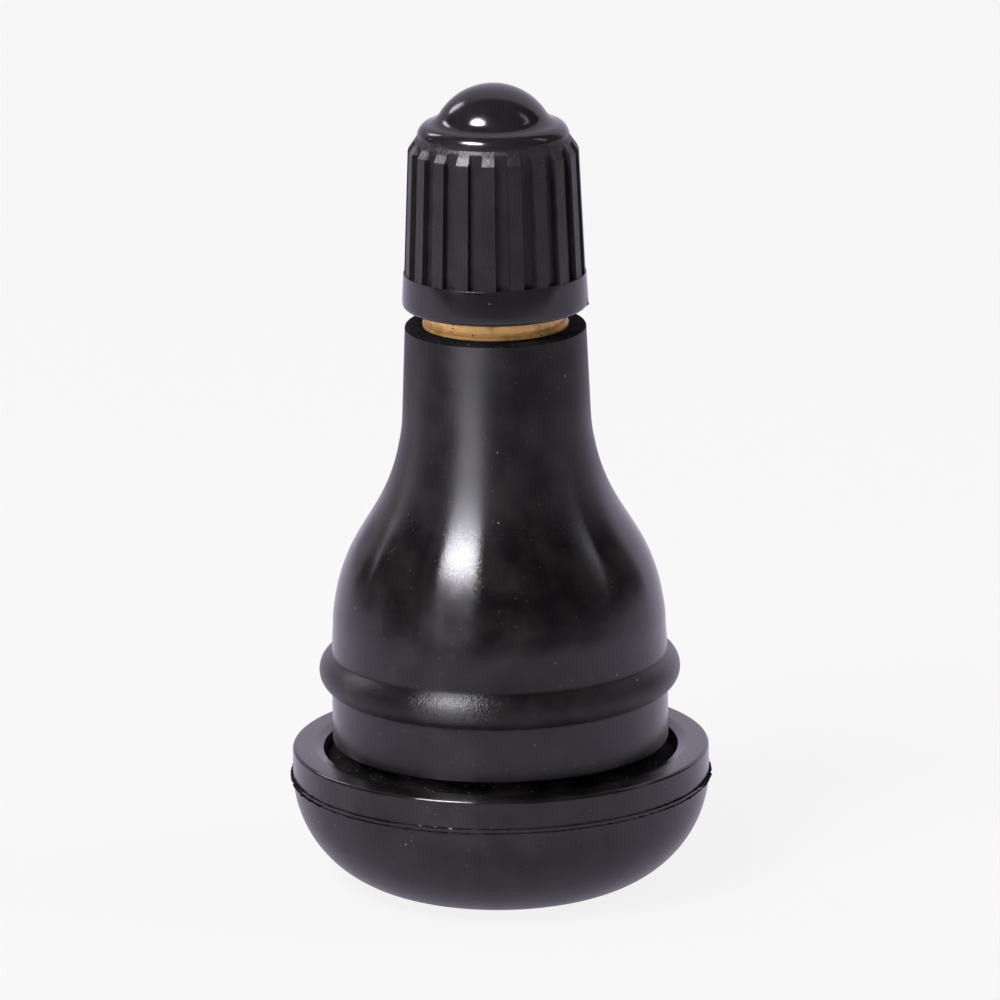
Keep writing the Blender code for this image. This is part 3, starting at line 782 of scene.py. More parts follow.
@dataclass(frozen=True)
class Finish:
    """What every finish has.

    Attributes:
        name: Name of the material.
        colour: Its base colour.
        roughness: Its middle roughness.
        metallic: 1 for a metal.
        ior: Index of refraction.
        smeared: How much rougher its patches are.
        relief_depth: What the relief's full height stands for, in millimetres.
        relief_share: Share of the relief that shows.
    """

    name: str
    colour: Colour
    roughness: float
    metallic: float = 0.0
    ior: float = 1.5
    smeared: float = 0.12
    relief_depth: float = 0.006
    relief_share: float = 0.5

    def material(self) -> bpy.types.Material:
        """Makes the material: a Principled shader, dressed by the finish.

        Returns:
            The material.
        """
        made = bpy.data.materials.new(self.name)
        made.use_nodes = True
        wiring, sockets = Wiring(made.node_tree), made.node_tree.nodes["Principled BSDF"].inputs
        wiring.feed(sockets["Base Color"], self.colour)
        sockets["Roughness"].default_value = self.roughness
        sockets["Metallic"].default_value = self.metallic
        sockets["IOR"].default_value = self.ior
        self.dress(wiring, sockets)
        return made

    def dress(self, wiring: Wiring, sockets: Sockets) -> None:
        """Adds the finish's own nodes; a plain finish has none."""

    def roughen(self, wiring: Wiring, sockets: Sockets, patches: object) -> None:
        """Makes the surface rougher by `smeared` on its patches."""
        rougher = wiring.math("MULTIPLY_ADD", patches, self.smeared, self.roughness)
        wiring.feed(sockets["Roughness"], rougher)

    def bump(self, wiring: Wiring, sockets: Sockets, height: object, share: object) -> None:
        """Feeds a height, of which a share shows, to the shader's normal."""
        inputs = {"Height": height, "Distance": self.relief_depth * MILLIMETRE, "Strength": share}
        wiring.feed(sockets["Normal"], wiring.node("ShaderNodeBump", inputs).outputs[0])


@dataclass(frozen=True)
class MouldedRubber(Finish):
    """Black rubber under a waxy film: smudges, dust, grain, faint streaks, painted highlight rays.

    The film is thickest along the neck, where the rubber is rougher too, and most so at the lip.

    Attributes:
        bloom: Colour of the paler smudges.
        dust: Colour of the dust.
        painted_ray_colour: Pale colour of the painted highlight rays.
        gloss: Specular level of the rubber.
        film: Share of the film away from the neck.
        film_roughness: Roughness of the film.
        ring_grain: How far the mould's fine rings spread a highlight up and down.
        ring_turn: Their direction, in turns from the surface's tangent.
        neck: Levels between which the neck's finish sets in.
        neck_film: Share of the film on the neck.
        neck_roughness: Roughness of the neck.
        lip: Levels between which the lip's finish sets in.
        lip_roughness: Roughness of the lip.
        coarse: Low and high level of the band that has the coarser grain.
        coarse_edge: Half the width of the band's soft ends.
        painted_rays: Middle of the painted highlight rays.
        speckle: Share of the finest dust.
        speckle_cover: Share of the surface's cells that have it.
        roughened: How much rougher the skin is in that band.
        streaked: How much rougher it is on the streaks.
        pitted: How much rougher it is in its pits.
        coarse_share: Share of the relief that shows besides in the coarse band.
        ring_share: Height of the neck's fine rings next to the grain's.
    """

    bloom: Colour = (0.017, 0.0135, 0.0125)
    dust: Colour = (0.3, 0.28, 0.29)
    painted_ray_colour: Colour = (0.2, 0.19, 0.185)
    gloss: float = 0.55
    film: float = 0.05
    film_roughness: float = 0.5
    ring_grain: float = 1.0
    ring_turn: float = 0.25
    neck: Point = NOWHERE
    neck_film: float = 0.2
    neck_roughness: float = 0.47
    lip: Point = NOWHERE
    lip_roughness: float = 0.74
    coarse: Point = NOWHERE
    coarse_edge: float = 0.15
    painted_rays: Corner = (0.0, 0.0, BEYOND)
    speckle: float = 0.14
    speckle_cover: float = 0.05
    roughened: float = 0.2
    smeared: float = 0.035
    streaked: float = 0.04
    pitted: float = 0.035
    relief_depth: float = 0.03
    relief_share: float = 0.12
    coarse_share: float = 0.42
    ring_share: float = 1.2

    def dress(self, wiring: Wiring, sockets: Sockets) -> None:
        """Mottles the colour and the skin, sprinkles dust, paints highlight rays, sets the zones
        and adds the relief.

        Args:
            wiring: The material's wiring.
            sockets: The shader's inputs.
        """
        _, height, _ = wiring.round_place()
        neck = wiring.between(height, *(level * MILLIMETRE for level in self.neck))
        lip = wiring.between(height, *(level * MILLIMETRE for level in self.lip))
        coarse = wiring.band(height, *self.coarse, self.coarse_edge)
        patches = wiring.shared(Effect.MOTTLE, {"Scale": 560.0, "Low": 0.4, "High": 0.8})
        colour = wiring.blend(patches, self.colour, self.bloom)
        tiny = {"Scale": 6500.0, "Size": 0.34, "Cover": self.speckle_cover}
        fine = wiring.shared(Effect.DUST, tiny)
        specks = wiring.shared(Effect.DUST, {"Scale": 2600.0, "Size": 0.11, "Cover": 0.07})
        dusty = wiring.math("MAXIMUM", wiring.math("MULTIPLY", fine, self.speckle), specks)
        colour = wiring.blend(dusty, colour, self.dust)
        # Pale rays painted into the colour about one point on the bulb: a painted highlight.
        middle = dict(zip("XYZ", (value * MILLIMETRE for value in self.painted_rays)))
        rays = wiring.shared(Effect.PAINTED_RAYS, {**middle, "Reach": 0.0019, "Rays": 4.2})
        wiring.feed(sockets["Base Color"], wiring.blend(rays, colour, self.painted_ray_colour))
        streaks = wiring.shared(Effect.STREAKS, {"Count": 60.0, "Length": 0.006})
        rougher = self.neck_roughness - self.roughness
        satin = wiring.math("MULTIPLY_ADD", neck, rougher, self.roughness)
        satin = wiring.math("MULTIPLY_ADD", lip, self.lip_roughness - self.neck_roughness, satin)
        pits = wiring.shared(Effect.DUST, {"Scale": 11000.0, "Size": 0.6, "Cover": 0.5})
        rises = (
            (coarse, self.roughened),
            (patches, self.smeared),
            (streaks, self.streaked),
            (pits, self.pitted),
        )
        for mask, rise in rises:
            satin = wiring.math("MULTIPLY_ADD", mask, rise, satin)
        wiring.feed(sockets["Roughness"], satin)
        sockets["Specular IOR Level"].default_value = self.gloss
        sockets["Anisotropic"].default_value = self.ring_grain
        sockets["Anisotropic Rotation"].default_value = self.ring_turn
        sockets["Coat Roughness"].default_value = self.film_roughness
        film = wiring.math("MULTIPLY_ADD", neck, self.neck_film - self.film, self.film)
        wiring.feed(sockets["Coat Weight"], film)
        grain = wiring.shared(Effect.GRAIN, {"Scale": 8000.0, "Coarse": 0.6})
        rings = wiring.shared(Effect.TURNING, {"Scale": 9000.0})
        ringed = wiring.math("MULTIPLY", neck, self.ring_share)
        relief = wiring.math("MULTIPLY_ADD", rings, ringed, grain)
        share = wiring.math("MULTIPLY_ADD", coarse, self.coarse_share, self.relief_share)
        self.bump(wiring, sockets, relief, share)


@dataclass(frozen=True)
class MouldedPlastic(Finish):
    """Black plastic, glossy where the mould was polished and satin along the ribs.

    The rib ends that face the key lamp carry a painted sheen.

    Attributes:
        dust: Colour of the dust.
        rubbed: Colour of rubbed edges.
        painted_sheen: Pale colour of the painted sheen on the rib ends, broken up like scratches.
        gloss: Specular level.
        satin_roughness: Roughness of the ribbed part.
        satin_from: Level where the satin starts.
        satin_to: Level where it ends.
        paler: How many times as pale the patches are.
        edge_share: How much of the rubbed edges' colour shows.
        satin_share: Share of the relief that shows besides in the satin part.
        wear_and_sheen: Inner radius, and low and high level, of the rib ends painted paler on one
            side.
        sheen_side: The direction of that side from the axis, of length 1, towards the key lamp.
    """

    dust: Colour = (0.25, 0.24, 0.24)
    rubbed: Colour = (0.05, 0.047, 0.05)
    painted_sheen: Colour = (0.2, 0.185, 0.2)
    gloss: float = 0.46
    satin_roughness: float = 0.4
    satin_from: float = 0.0
    satin_to: float = 0.0
    paler: float = 1.35
    edge_share: float = 0.5
    smeared: float = 0.05
    relief_depth: float = 0.03
    relief_share: float = 0.03
    satin_share: float = 0.9
    wear_and_sheen: Corner = (BEYOND, *NOWHERE)
    sheen_side: Corner = (-0.6, -0.8, 0.0)

    def dress(self, wiring: Wiring, sockets: Sockets) -> None:
        """Sets where the surface is satin, adds its grain and faint waves, and sprinkles dust.

        The rib ends on the key lamp's side are painted paler, as a painted sheen.

        Args:
            wiring: The material's wiring.
            sockets: The shader's inputs.
        """
        sockets["Specular IOR Level"].default_value = self.gloss
        patches = wiring.shared(Effect.MOTTLE, {"Scale": 700.0})
        paler = tuple(self.paler * value for value in self.colour)
        colour = wiring.blend(patches, self.colour, paler)
        radius, height, away = wiring.round_place()
        foot = ((self.satin_from + side) * MILLIMETRE for side in (-0.05, 0.05))
        end = ((self.satin_to + side) * MILLIMETRE for side in (0.45, -0.1))
        rise, fall = wiring.between(height, *foot), wiring.between(height, *end)
        ribbed = wiring.math("MULTIPLY", rise, fall)
        edges = wiring.shared(Effect.EDGES)
        rubbed = wiring.math("MULTIPLY", edges, wiring.math("MULTIPLY", ribbed, self.edge_share))
        colour = wiring.blend(rubbed, colour, self.rubbed)
        # Rib ends on the side that faces the key lamp, painted paler and broken up like scratches: a
        # painted sheen.
        inner, low, high = self.wear_and_sheen
        side = wiring.vector("DOT_PRODUCT", away, self.sheen_side)
        outside = wiring.band(radius, inner, BEYOND, 0.03)
        wear_and_sheen = wiring.math("MULTIPLY", outside, wiring.band(height, low, high, 0.05))
        wear_and_sheen = wiring.math("MULTIPLY", wear_and_sheen, wiring.between(side, 0.6, 0.95))
        sheen_breakup = wiring.shared(Effect.MOTTLE, {"Scale": 9000.0, "Low": 0.3, "High": 0.62})
        colour = wiring.blend(wiring.math("MULTIPLY", wear_and_sheen, sheen_breakup), colour, self.painted_sheen)
        specks = wiring.shared(Effect.DUST, {"Scale": 2900.0, "Size": 0.11, "Cover": 0.07})
        wiring.feed(sockets["Base Color"], wiring.blend(specks, colour, self.dust))
        smeared = wiring.math("MULTIPLY_ADD", patches, self.smeared, self.roughness)
        rougher = wiring.math("MULTIPLY", ribbed, self.satin_roughness - self.roughness)
        wiring.feed(sockets["Roughness"], wiring.math("ADD", smeared, rougher))
        grain = wiring.shared(Effect.GRAIN, {"Scale": 7000.0, "Coarse": 0.8})
        share = wiring.math("MULTIPLY_ADD", ribbed, self.satin_share, self.relief_share)
        self.bump(wiring, sockets, grain, share)


@dataclass(frozen=True)
class TurnedBrass(Finish):
    """Brass off the lathe, with fine rings, brown tarnish and dark pits.

    Attributes:
        tarnish: Colour of the tarnish.
        pit: Colour of the pits.
        weathered: Low and high level of the ring that lies in the open, under a dull skin.
        weathered_edge: Half the width of that ring's soft ends.
        skin: How much of the metal's mirror the dull skin hides.
    """

    tarnish: Colour = (0.36, 0.2, 0.07)
    pit: Colour = (0.05, 0.03, 0.015)
    weathered: Point = NOWHERE
    weathered_edge: float = 0.2
    skin: float = 0.65
    relief_share: float = 0.8

    def dress(self, wiring: Wiring, sockets: Sockets) -> None:
        """Tarnishes and pits the colour, and adds the rings.

        Args:
            wiring: The material's wiring.
            sockets: The shader's inputs.
        """
        _, height, _ = wiring.round_place()
        weathered = wiring.band(height, *self.weathered, self.weathered_edge)
        dull = wiring.math("MULTIPLY", weathered, self.skin)
        wiring.feed(sockets["Metallic"], wiring.math("SUBTRACT", self.metallic, dull))
        patches = wiring.shared(Effect.MOTTLE, {"Scale": 900.0, "Low": 0.52, "High": 0.8})
        colour = wiring.blend(patches, self.colour, self.tarnish)
        pits = wiring.shared(Effect.DUST, {"Scale": 6200.0, "Size": 0.42, "Cover": 0.1})
        wiring.feed(sockets["Base Color"], wiring.blend(pits, colour, self.pit))
        self.roughen(wiring, sockets, patches)
        rings = wiring.shared(Effect.TURNING, {"Scale": 12000.0})
        grain = wiring.shared(Effect.GRAIN, {"Scale": 12000.0, "Coarse": 0.6})
        self.bump(wiring, sockets, wiring.math("ADD", rings, grain), self.relief_share)


@dataclass(frozen=True)
class SoftSeal(Finish):
    """A sealing ring, with a matt skin and faint smudges.

    Attributes:
        wear_and_sheen: Colour of the smudges.
    """

    wear_and_sheen: Colour = (0.05, 0.05, 0.05)
    smeared: float = 0.1

    def dress(self, wiring: Wiring, sockets: Sockets) -> None:
        """Smudges the colour and adds a soft grain.

        Args:
            wiring: The material's wiring.
            sockets: The shader's inputs.
        """
        patches = wiring.shared(Effect.MOTTLE, {"Scale": 1200.0})
        mixed = wiring.blend(patches, self.colour, self.wear_and_sheen)
        wiring.feed(sockets["Base Color"], mixed)
        self.roughen(wiring, sockets, patches)
        grain = wiring.shared(Effect.GRAIN, {"Scale": 9000.0, "Coarse": 0.5})
        self.bump(wiring, sockets, grain, self.relief_share)


@dataclass(frozen=True)
class DrawnWire(Finish):
    """Drawn steel wire with darker patches.

    Attributes:
        darker: How pale the patches are, next to the rest.
    """

    darker: float = 0.6

    def dress(self, wiring: Wiring, sockets: Sockets) -> None:
        """Darkens patches of the colour and roughens them.

        Args:
            wiring: The material's wiring.
            sockets: The shader's inputs.
        """
        patches = wiring.shared(Effect.MOTTLE, {"Scale": 1500.0})
        dark = tuple(self.darker * value for value in self.colour)
        wiring.feed(sockets["Base Color"], wiring.blend(patches, self.colour, dark))
        self.roughen(wiring, sockets, patches)


# Sub-assemblies


@dataclass
class RubberBody:
    """The rubber moulding: domed base, flange, rim seat, bead, bulb and neck.

    The level of its top, and the stem's radius there, come from the frame.
    """

    base_flat: float = 6.83
    hole: float = 2.0
    hole_depth: float = 8.95
    foot_room: float = 1.2
    dome_height: float = 6.0
    dome_rise: float = 1.3
    seam_height: float = 0.3
    seam_proud: float = 0.2
    parting_step: float = 0.04
    overhang: float = 2.3
    edge_height: float = 1.6
    flange_round: float = 0.2
    face_inset: float = 1.05
    dish_inset: float = 0.55
    dish_depth: float = 0.14
    flange_dip: float = 0.45
    groove_lead: float = 0.1
    seat_radius: float = 9.55
    seat_length: float = 3.45
    groove_radius: float = 0.6
    groove_offset: float = 0.15
    groove_sink: float = 0.15
    groove_mouth: float = 0.36
    bead_round: float = 1.1
    bead_proud: float = 0.7
    bulb_inset: float = 0.1
    bulb_rise: float = 2.6
    bulb_round: float = 10.15
    neck_round: float = 11.05
    neck_taper: float = math.radians(2.3)
    neck_ease: float = 3.0
    neck_wall: float = 1.0
    lip_round: float = 0.2
    top_dish: float = 0.06
    bond_gap: float = 0.05
    shank_inset: float = 0.37
    collar_room: float = 0.55
    flash_thickness: float = 0.08
    flash_apart: float = 0.25
    flash_wander: float = 0.025
    flash_sunk: float = 0.3
    flash_swell: float = 0.35
    flash_shares: Corner = (0.62, 0.3, 0.45)
    flash_limits: Point = (0.12, 0.98)
    flash_waves: tuple[tuple[int, int], ...] = ((2, 40), (40, 420), (3, 160), (8, 200))
    flash_rows: int = 9
    painted_shade_depth: float = 1.0
    columns: int = 320
    flash_columns: int = 1080

    def __post_init__(self) -> None:
        """Works out the levels and radii that several outlines share."""
        self.top = heights("rubber_body")[1]
        self.seam_top = self.dome_height + self.seam_height
        self.flange_top = self.seam_top + self.edge_height
        self.bead_foot = self.flange_top + self.seat_length
        drop = self.bead_round - self.bead_proud
        self.bead_level = self.bead_foot + math.sqrt(self.bead_round**2 - drop**2)
        self.bulb_level = self.bead_level + self.bulb_rise
        self.bulb_radius = self.seat_radius - self.bulb_inset
        self.flange_radius = self.seat_radius + self.overhang
        self.stem_radius = reach_near("valve_stem", self.top)
        self.neck_radius = self.stem_radius + self.neck_wall

    def neck_outline(self) -> np.ndarray:
        """Top face, lip, neck and bulb, from the stem outwards and down.

        The neck's hollow arc touches the lip's taper and the bulb's full arc. Its centre lies both
        radii from the bulb's centre, in the direction whose cosine, counted from the taper's
        normal, is the neck's radius less the bulb centre's offset from the taper, over both radii.

        Returns:
            The outline.
        """
        lip = (self.neck_radius - self.lip_round, self.top - self.lip_round)
        dish = [
            (self.stem_radius + self.bond_gap, self.top - self.top_dish / 2),
            (self.stem_radius + self.neck_wall / 3, self.top - self.top_dish),
        ]
        both = self.bulb_round + self.neck_round
        bulb = (self.bulb_radius - self.bulb_round, self.bulb_level)
        across = math.cos(self.neck_taper) * (bulb[0] - self.neck_radius)
        along = math.sin(self.neck_taper) * (bulb[1] - self.top)
        meet = self.neck_taper + math.acos((self.neck_round - across - along) / both)
        neck = (bulb[0] + both * math.cos(meet), bulb[1] + both * math.sin(meet))
        return np.concatenate([
            dish,
            arc(lip, self.lip_round, math.pi / 2, self.neck_taper),
            eased(np.concatenate([
                arc(neck, self.neck_round, math.pi + self.neck_taper, math.pi + meet),
                arc(bulb, self.bulb_round, meet, 0.0)[1:],
            ]), self.neck_ease),
        ])

    def bead_outline(self) -> np.ndarray:
        """The bead, an arc from the bulb's foot down to the seat."""
        centre = (self.seat_radius + self.bead_proud - self.bead_round, self.bead_level)
        upper = math.acos((self.bulb_radius - centre[0]) / self.bead_round)
        lower = -math.acos((self.seat_radius - centre[0]) / self.bead_round)
        return arc(centre, self.bead_round, upper, lower)

    def groove_outline(self) -> np.ndarray:
        """The relief groove between the seat and the flange, an arc about the flange's level."""
        centre = (self.seat_radius + self.groove_offset, self.flange_top - self.groove_sink)
        start = math.pi - math.acos(self.groove_offset / self.groove_radius)
        mouth = (self.groove_mouth - self.groove_offset) / self.groove_radius
        return arc(centre, self.groove_radius, start, FULL_TURN - math.acos(mouth))

    def flange_outline(self) -> np.ndarray:
        """The flange, from the groove's mouth over its dished rim face to the mould's parting."""
        inner = self.seat_radius + self.groove_mouth
        step = self.parting_step
        return filleted([
            (inner, self.flange_top - self.flange_dip - self.groove_lead, 0.0),
            (inner, self.flange_top - self.flange_dip, 0.05),
            (self.seat_radius + self.dish_inset, self.flange_top - self.dish_depth, 0.12),
            (self.seat_radius + self.face_inset, self.flange_top, 0.5),
            (self.flange_radius, self.flange_top, self.flange_round),
            (self.flange_radius, self.seam_top, 0.02),
            (self.flange_radius + step, self.seam_top - step, 0.02),
            (self.flange_radius + step, self.dome_height + step, 0.02),
            (self.flange_radius, self.dome_height, 0.0),
        ])

    def base_outline(self) -> np.ndarray:
        """The dome, the flat ring that the valve stands on, and the hole with the stem's bond."""
        dome = bulged((self.flange_radius, self.dome_height), (self.base_flat, 0.0), self.dome_rise)
        foot = reach("valve_stem") + self.bond_gap
        shank = self.stem_radius - self.shank_inset
        inner = filleted([
            (self.base_flat, 0.0, 0.0),
            (self.hole, 0.0, 0.25),
            (self.hole, self.hole_depth, 0.1),
            (foot, self.hole_depth, 0.05),
            (foot, self.hole_depth + self.foot_room, 0.05),
            (shank, self.hole_depth + self.foot_room, 0.05),
            (shank, self.top - self.collar_room, 0.0),
            (self.stem_radius + self.bond_gap, self.top - self.collar_room, 0.0),
            (self.stem_radius + self.bond_gap, self.top - self.top_dish / 2, 0.0),
        ])
        return np.concatenate([dome[1:-1], inner])

    def flash(self, aside: float, seed: int) -> np.ndarray:
        """One ragged fin of rubber at the mould's parting.

        Its edge stands out by a share of seam_proud: the first of flash_shares, plus the second
        times a coarse noise and the third times a fine one, held within flash_limits. Its middle
        wanders up and down by flash_wander, its thickness swells by flash_swell, and its section
        is half an ellipse. The pairs in flash_waves are the four noises' periods.

        Args:
            aside: How far the fin's middle lies above the parting.
            seed: Seed of its noise.

        Returns:
            The fin's sheet.
        """
        coarse, fine, wander, swell = (
            ring_noise(self.flash_columns, slowest, fastest, seed + order)
            for order, (slowest, fastest) in enumerate(self.flash_waves)
        )
        usual, coarse_part, fine_part = self.flash_shares
        share = np.clip(usual + coarse_part * coarse + fine_part * fine, *self.flash_limits)
        middle = (self.dome_height + self.seam_top) / 2 + aside + self.flash_wander * wander
        half = self.flash_thickness / 2 * (1 + self.flash_swell * swell)
        turn = np.linspace(math.pi / 2, -math.pi / 2, self.flash_rows)[:, None]
        sunk = self.flash_sunk * (1 - np.cos(turn))
        out = self.flange_radius + self.seam_proud * share * np.cos(turn) - sunk
        level = middle + half * np.sin(turn)
        return closed([placed(out, level, ring_angles(self.flash_columns)[None])])

    def build(self, rubber: bpy.types.Material, torn_and_shaded: bpy.types.Material) -> None:
        """Makes the moulding and the two fins of its flash, and paints shade into its rim groove.

        Args:
            rubber: The moulding's material.
            torn_and_shaded: Material of the flash, and painted shade in the rim groove.
        """
        outline = np.concatenate([
            self.neck_outline(),
            self.bead_outline()[1:],
            self.groove_outline(),
            self.flange_outline()[1:],
            self.base_outline(),
        ])
        moulding = new_object("rubber_moulding", [turned(outline, ring_angles(self.columns))])
        seat(moulding, Body.VALVE, Slot.RUBBER, rubber, "rubber_body")
        # Near-black matt rubber goes on the rim groove's pocket and the seat's foot as painted
        # shade, and on the lip to dull it.
        foot = self.flange_top - self.painted_shade_depth
        repaint(moulding, torn_and_shaded, [
            ((0.0, self.seat_radius + self.dish_inset), (foot, self.flange_top - 0.12)),
            ((0.0, self.seat_radius - 0.001), (foot, self.flange_top + self.groove_radius)),
            ((0.0, self.neck_radius + 0.01), (self.top - 0.9 * self.lip_round, BEYOND)),
        ])
        half = self.flash_apart / 2
        # The fins' near-black matt rubber also stands in for the shadow lines along them.
        fins = new_object("parting_flash", [self.flash(half, 3), self.flash(-half, 13)])
        seat(fins, Body.VALVE, Slot.RUBBER, torn_and_shaded)


@dataclass
class BrassStem:
    """The turned brass stem, with right-hand threads for the cap outside and the core inside."""

    thread_radius: float = 3.875
    thread_root: float = 3.4
    thread_pitch: float = 0.79375
    relief_depth: float = 0.4
    relief_height: float = 0.3
    mouth_chamfer: float = 0.4
    countersink: float = 0.25
    collar_step: float = 0.11
    collar_height: float = 0.75
    lip_step: float = 0.13
    lip_height: float = 0.14
    lip_groove: float = 0.06
    lip_flare: float = 2.2
    collar_sunk: float = 0.5
    shank_step: float = 0.18
    foot_proud: float = 1.1
    foot_height: float = 1.1
    key_depth: float = 0.35
    key_width: float = 0.8
    key_pitch: float = 2.2
    key_rise: float = 2.4
    keys: int = 2
    lower_bore: float = 1.6
    chamber: float = 2.0
    chamber_floor: float = 20.075
    cone: float = 2.4
    cone_foot: float = 34.675
    cone_top: float = 36.375
    core_bore: float = 2.715
    core_crest: float = 2.38
    core_pitch: float = 0.70556
    core_flats: Point = (0.06, 0.3)
    core_foot: float = 0.2
    chamber_cone: float = 0.3
    columns: int = 128

    def __post_init__(self) -> None:
        """Works out the levels that the frame gives."""
        self.foot, self.mouth = heights("valve_stem")
        self.rubber_top = heights("rubber_body")[1]
        self.collar_top = self.rubber_top + self.collar_height
        self.thread_foot = self.collar_top + self.relief_depth + self.relief_height
        self.core_thread_foot = self.cone_top + self.core_foot

    def shank(self) -> np.ndarray:
        """The stem's side inside the rubber, from under the collar's lip down to the foot."""
        shank = self.thread_radius - self.shank_step
        lip = self.thread_radius + self.collar_step + self.lip_step
        corners = [
            (lip, self.rubber_top, 0.0),
            (lip, self.rubber_top - self.collar_sunk, 0.05),
            (shank, self.rubber_top - self.collar_sunk, 0.05),
        ]
        for key in reversed(range(self.keys)):
            low = self.foot + self.key_rise + key * self.key_pitch
            high = low + self.key_width
            floor = shank - self.key_depth
            corners += [(shank, high, 0.03), (floor, high, 0.05)]
            corners += [(floor, low, 0.05), (shank, low, 0.03)]
        flare = self.foot + self.foot_height
        corners += [
            (shank, flare, 0.1),
            (shank + self.foot_proud, flare, 0.08),
            (shank + self.foot_proud, self.foot, 0.08),
            (self.lower_bore, self.foot, 0.0),
        ]
        return filleted(corners)

    def collar(self) -> np.ndarray:
        """The relief under the thread, the collar, and the thin grooved lip at its foot."""
        relief = self.thread_radius - self.relief_depth
        collar = self.thread_radius + self.collar_step
        lip = collar + self.lip_step
        return filleted([
            (relief, self.thread_foot, 0.0),
            (relief, self.collar_top + self.relief_depth / 2, 0.1),
            (collar, self.collar_top, 0.06),
            (collar, self.rubber_top + self.lip_flare * self.lip_height, 0.04),
            (collar - self.lip_groove, self.rubber_top + self.lip_height, 0.02),
            (lip, self.rubber_top + self.lip_height, 0.05),
            (lip, self.rubber_top, 0.0),
        ])

    def bore(self) -> np.ndarray:
        """The bore from the foot up to the core's thread, with the cone for the core's gasket."""
        return filleted([
            (self.lower_bore, self.foot, 0.0),
            (self.lower_bore, self.chamber_floor - self.chamber_cone, 0.1),
            (self.chamber, self.chamber_floor, 0.1),
            (self.chamber, self.cone_foot, 0.05),
            (self.cone, self.cone_top, 0.05),
            (self.core_bore, self.core_thread_foot, 0.0),
        ])

    def build(self, brass: bpy.types.Material) -> None:
        """Makes the stem.

        Args:
            brass: Its material.
        """
        angles = ring_angles(self.columns)
        outer = Thread(self.thread_pitch, self.thread_root, self.thread_radius)
        inner = Thread(self.core_pitch, self.core_crest, self.core_bore, *self.core_flats)
        relief = self.thread_radius - self.relief_depth

        def outer_ends(radius: np.ndarray, height: np.ndarray) -> np.ndarray:
            """Cuts the outer thread with the mouth's chamfer and the relief's cone."""
            mouth = self.thread_radius - self.mouth_chamfer + self.mouth - height
            return np.minimum(radius, np.minimum(mouth, relief + height - self.thread_foot))

        def inner_ends(radius: np.ndarray, height: np.ndarray) -> np.ndarray:
            """Opens the inner thread with the mouth's countersink and a cone at its foot."""
            mouth = self.core_bore + self.countersink - (self.mouth - height)
            foot = self.core_bore - (height - self.core_thread_foot)
            return np.maximum(radius, np.maximum(mouth, foot))

        rim = np.array([
            (self.core_bore + self.countersink, self.mouth),
            (self.thread_radius - self.mouth_chamfer, self.mouth),
        ])
        stem = closed([
            turned(rim, angles),
            outer.wall(self.thread_foot, self.mouth, angles, Run.DOWN, outer_ends),
            turned(self.collar(), angles),
            turned(self.shank()[1:], angles),
            turned(self.bore()[1:], angles),
            inner.wall(self.core_thread_foot, self.mouth, angles, Run.UP, inner_ends),
        ])
        seat(new_object("turned_stem", [stem]), Body.VALVE, Slot.BRASS, brass, "valve_stem")


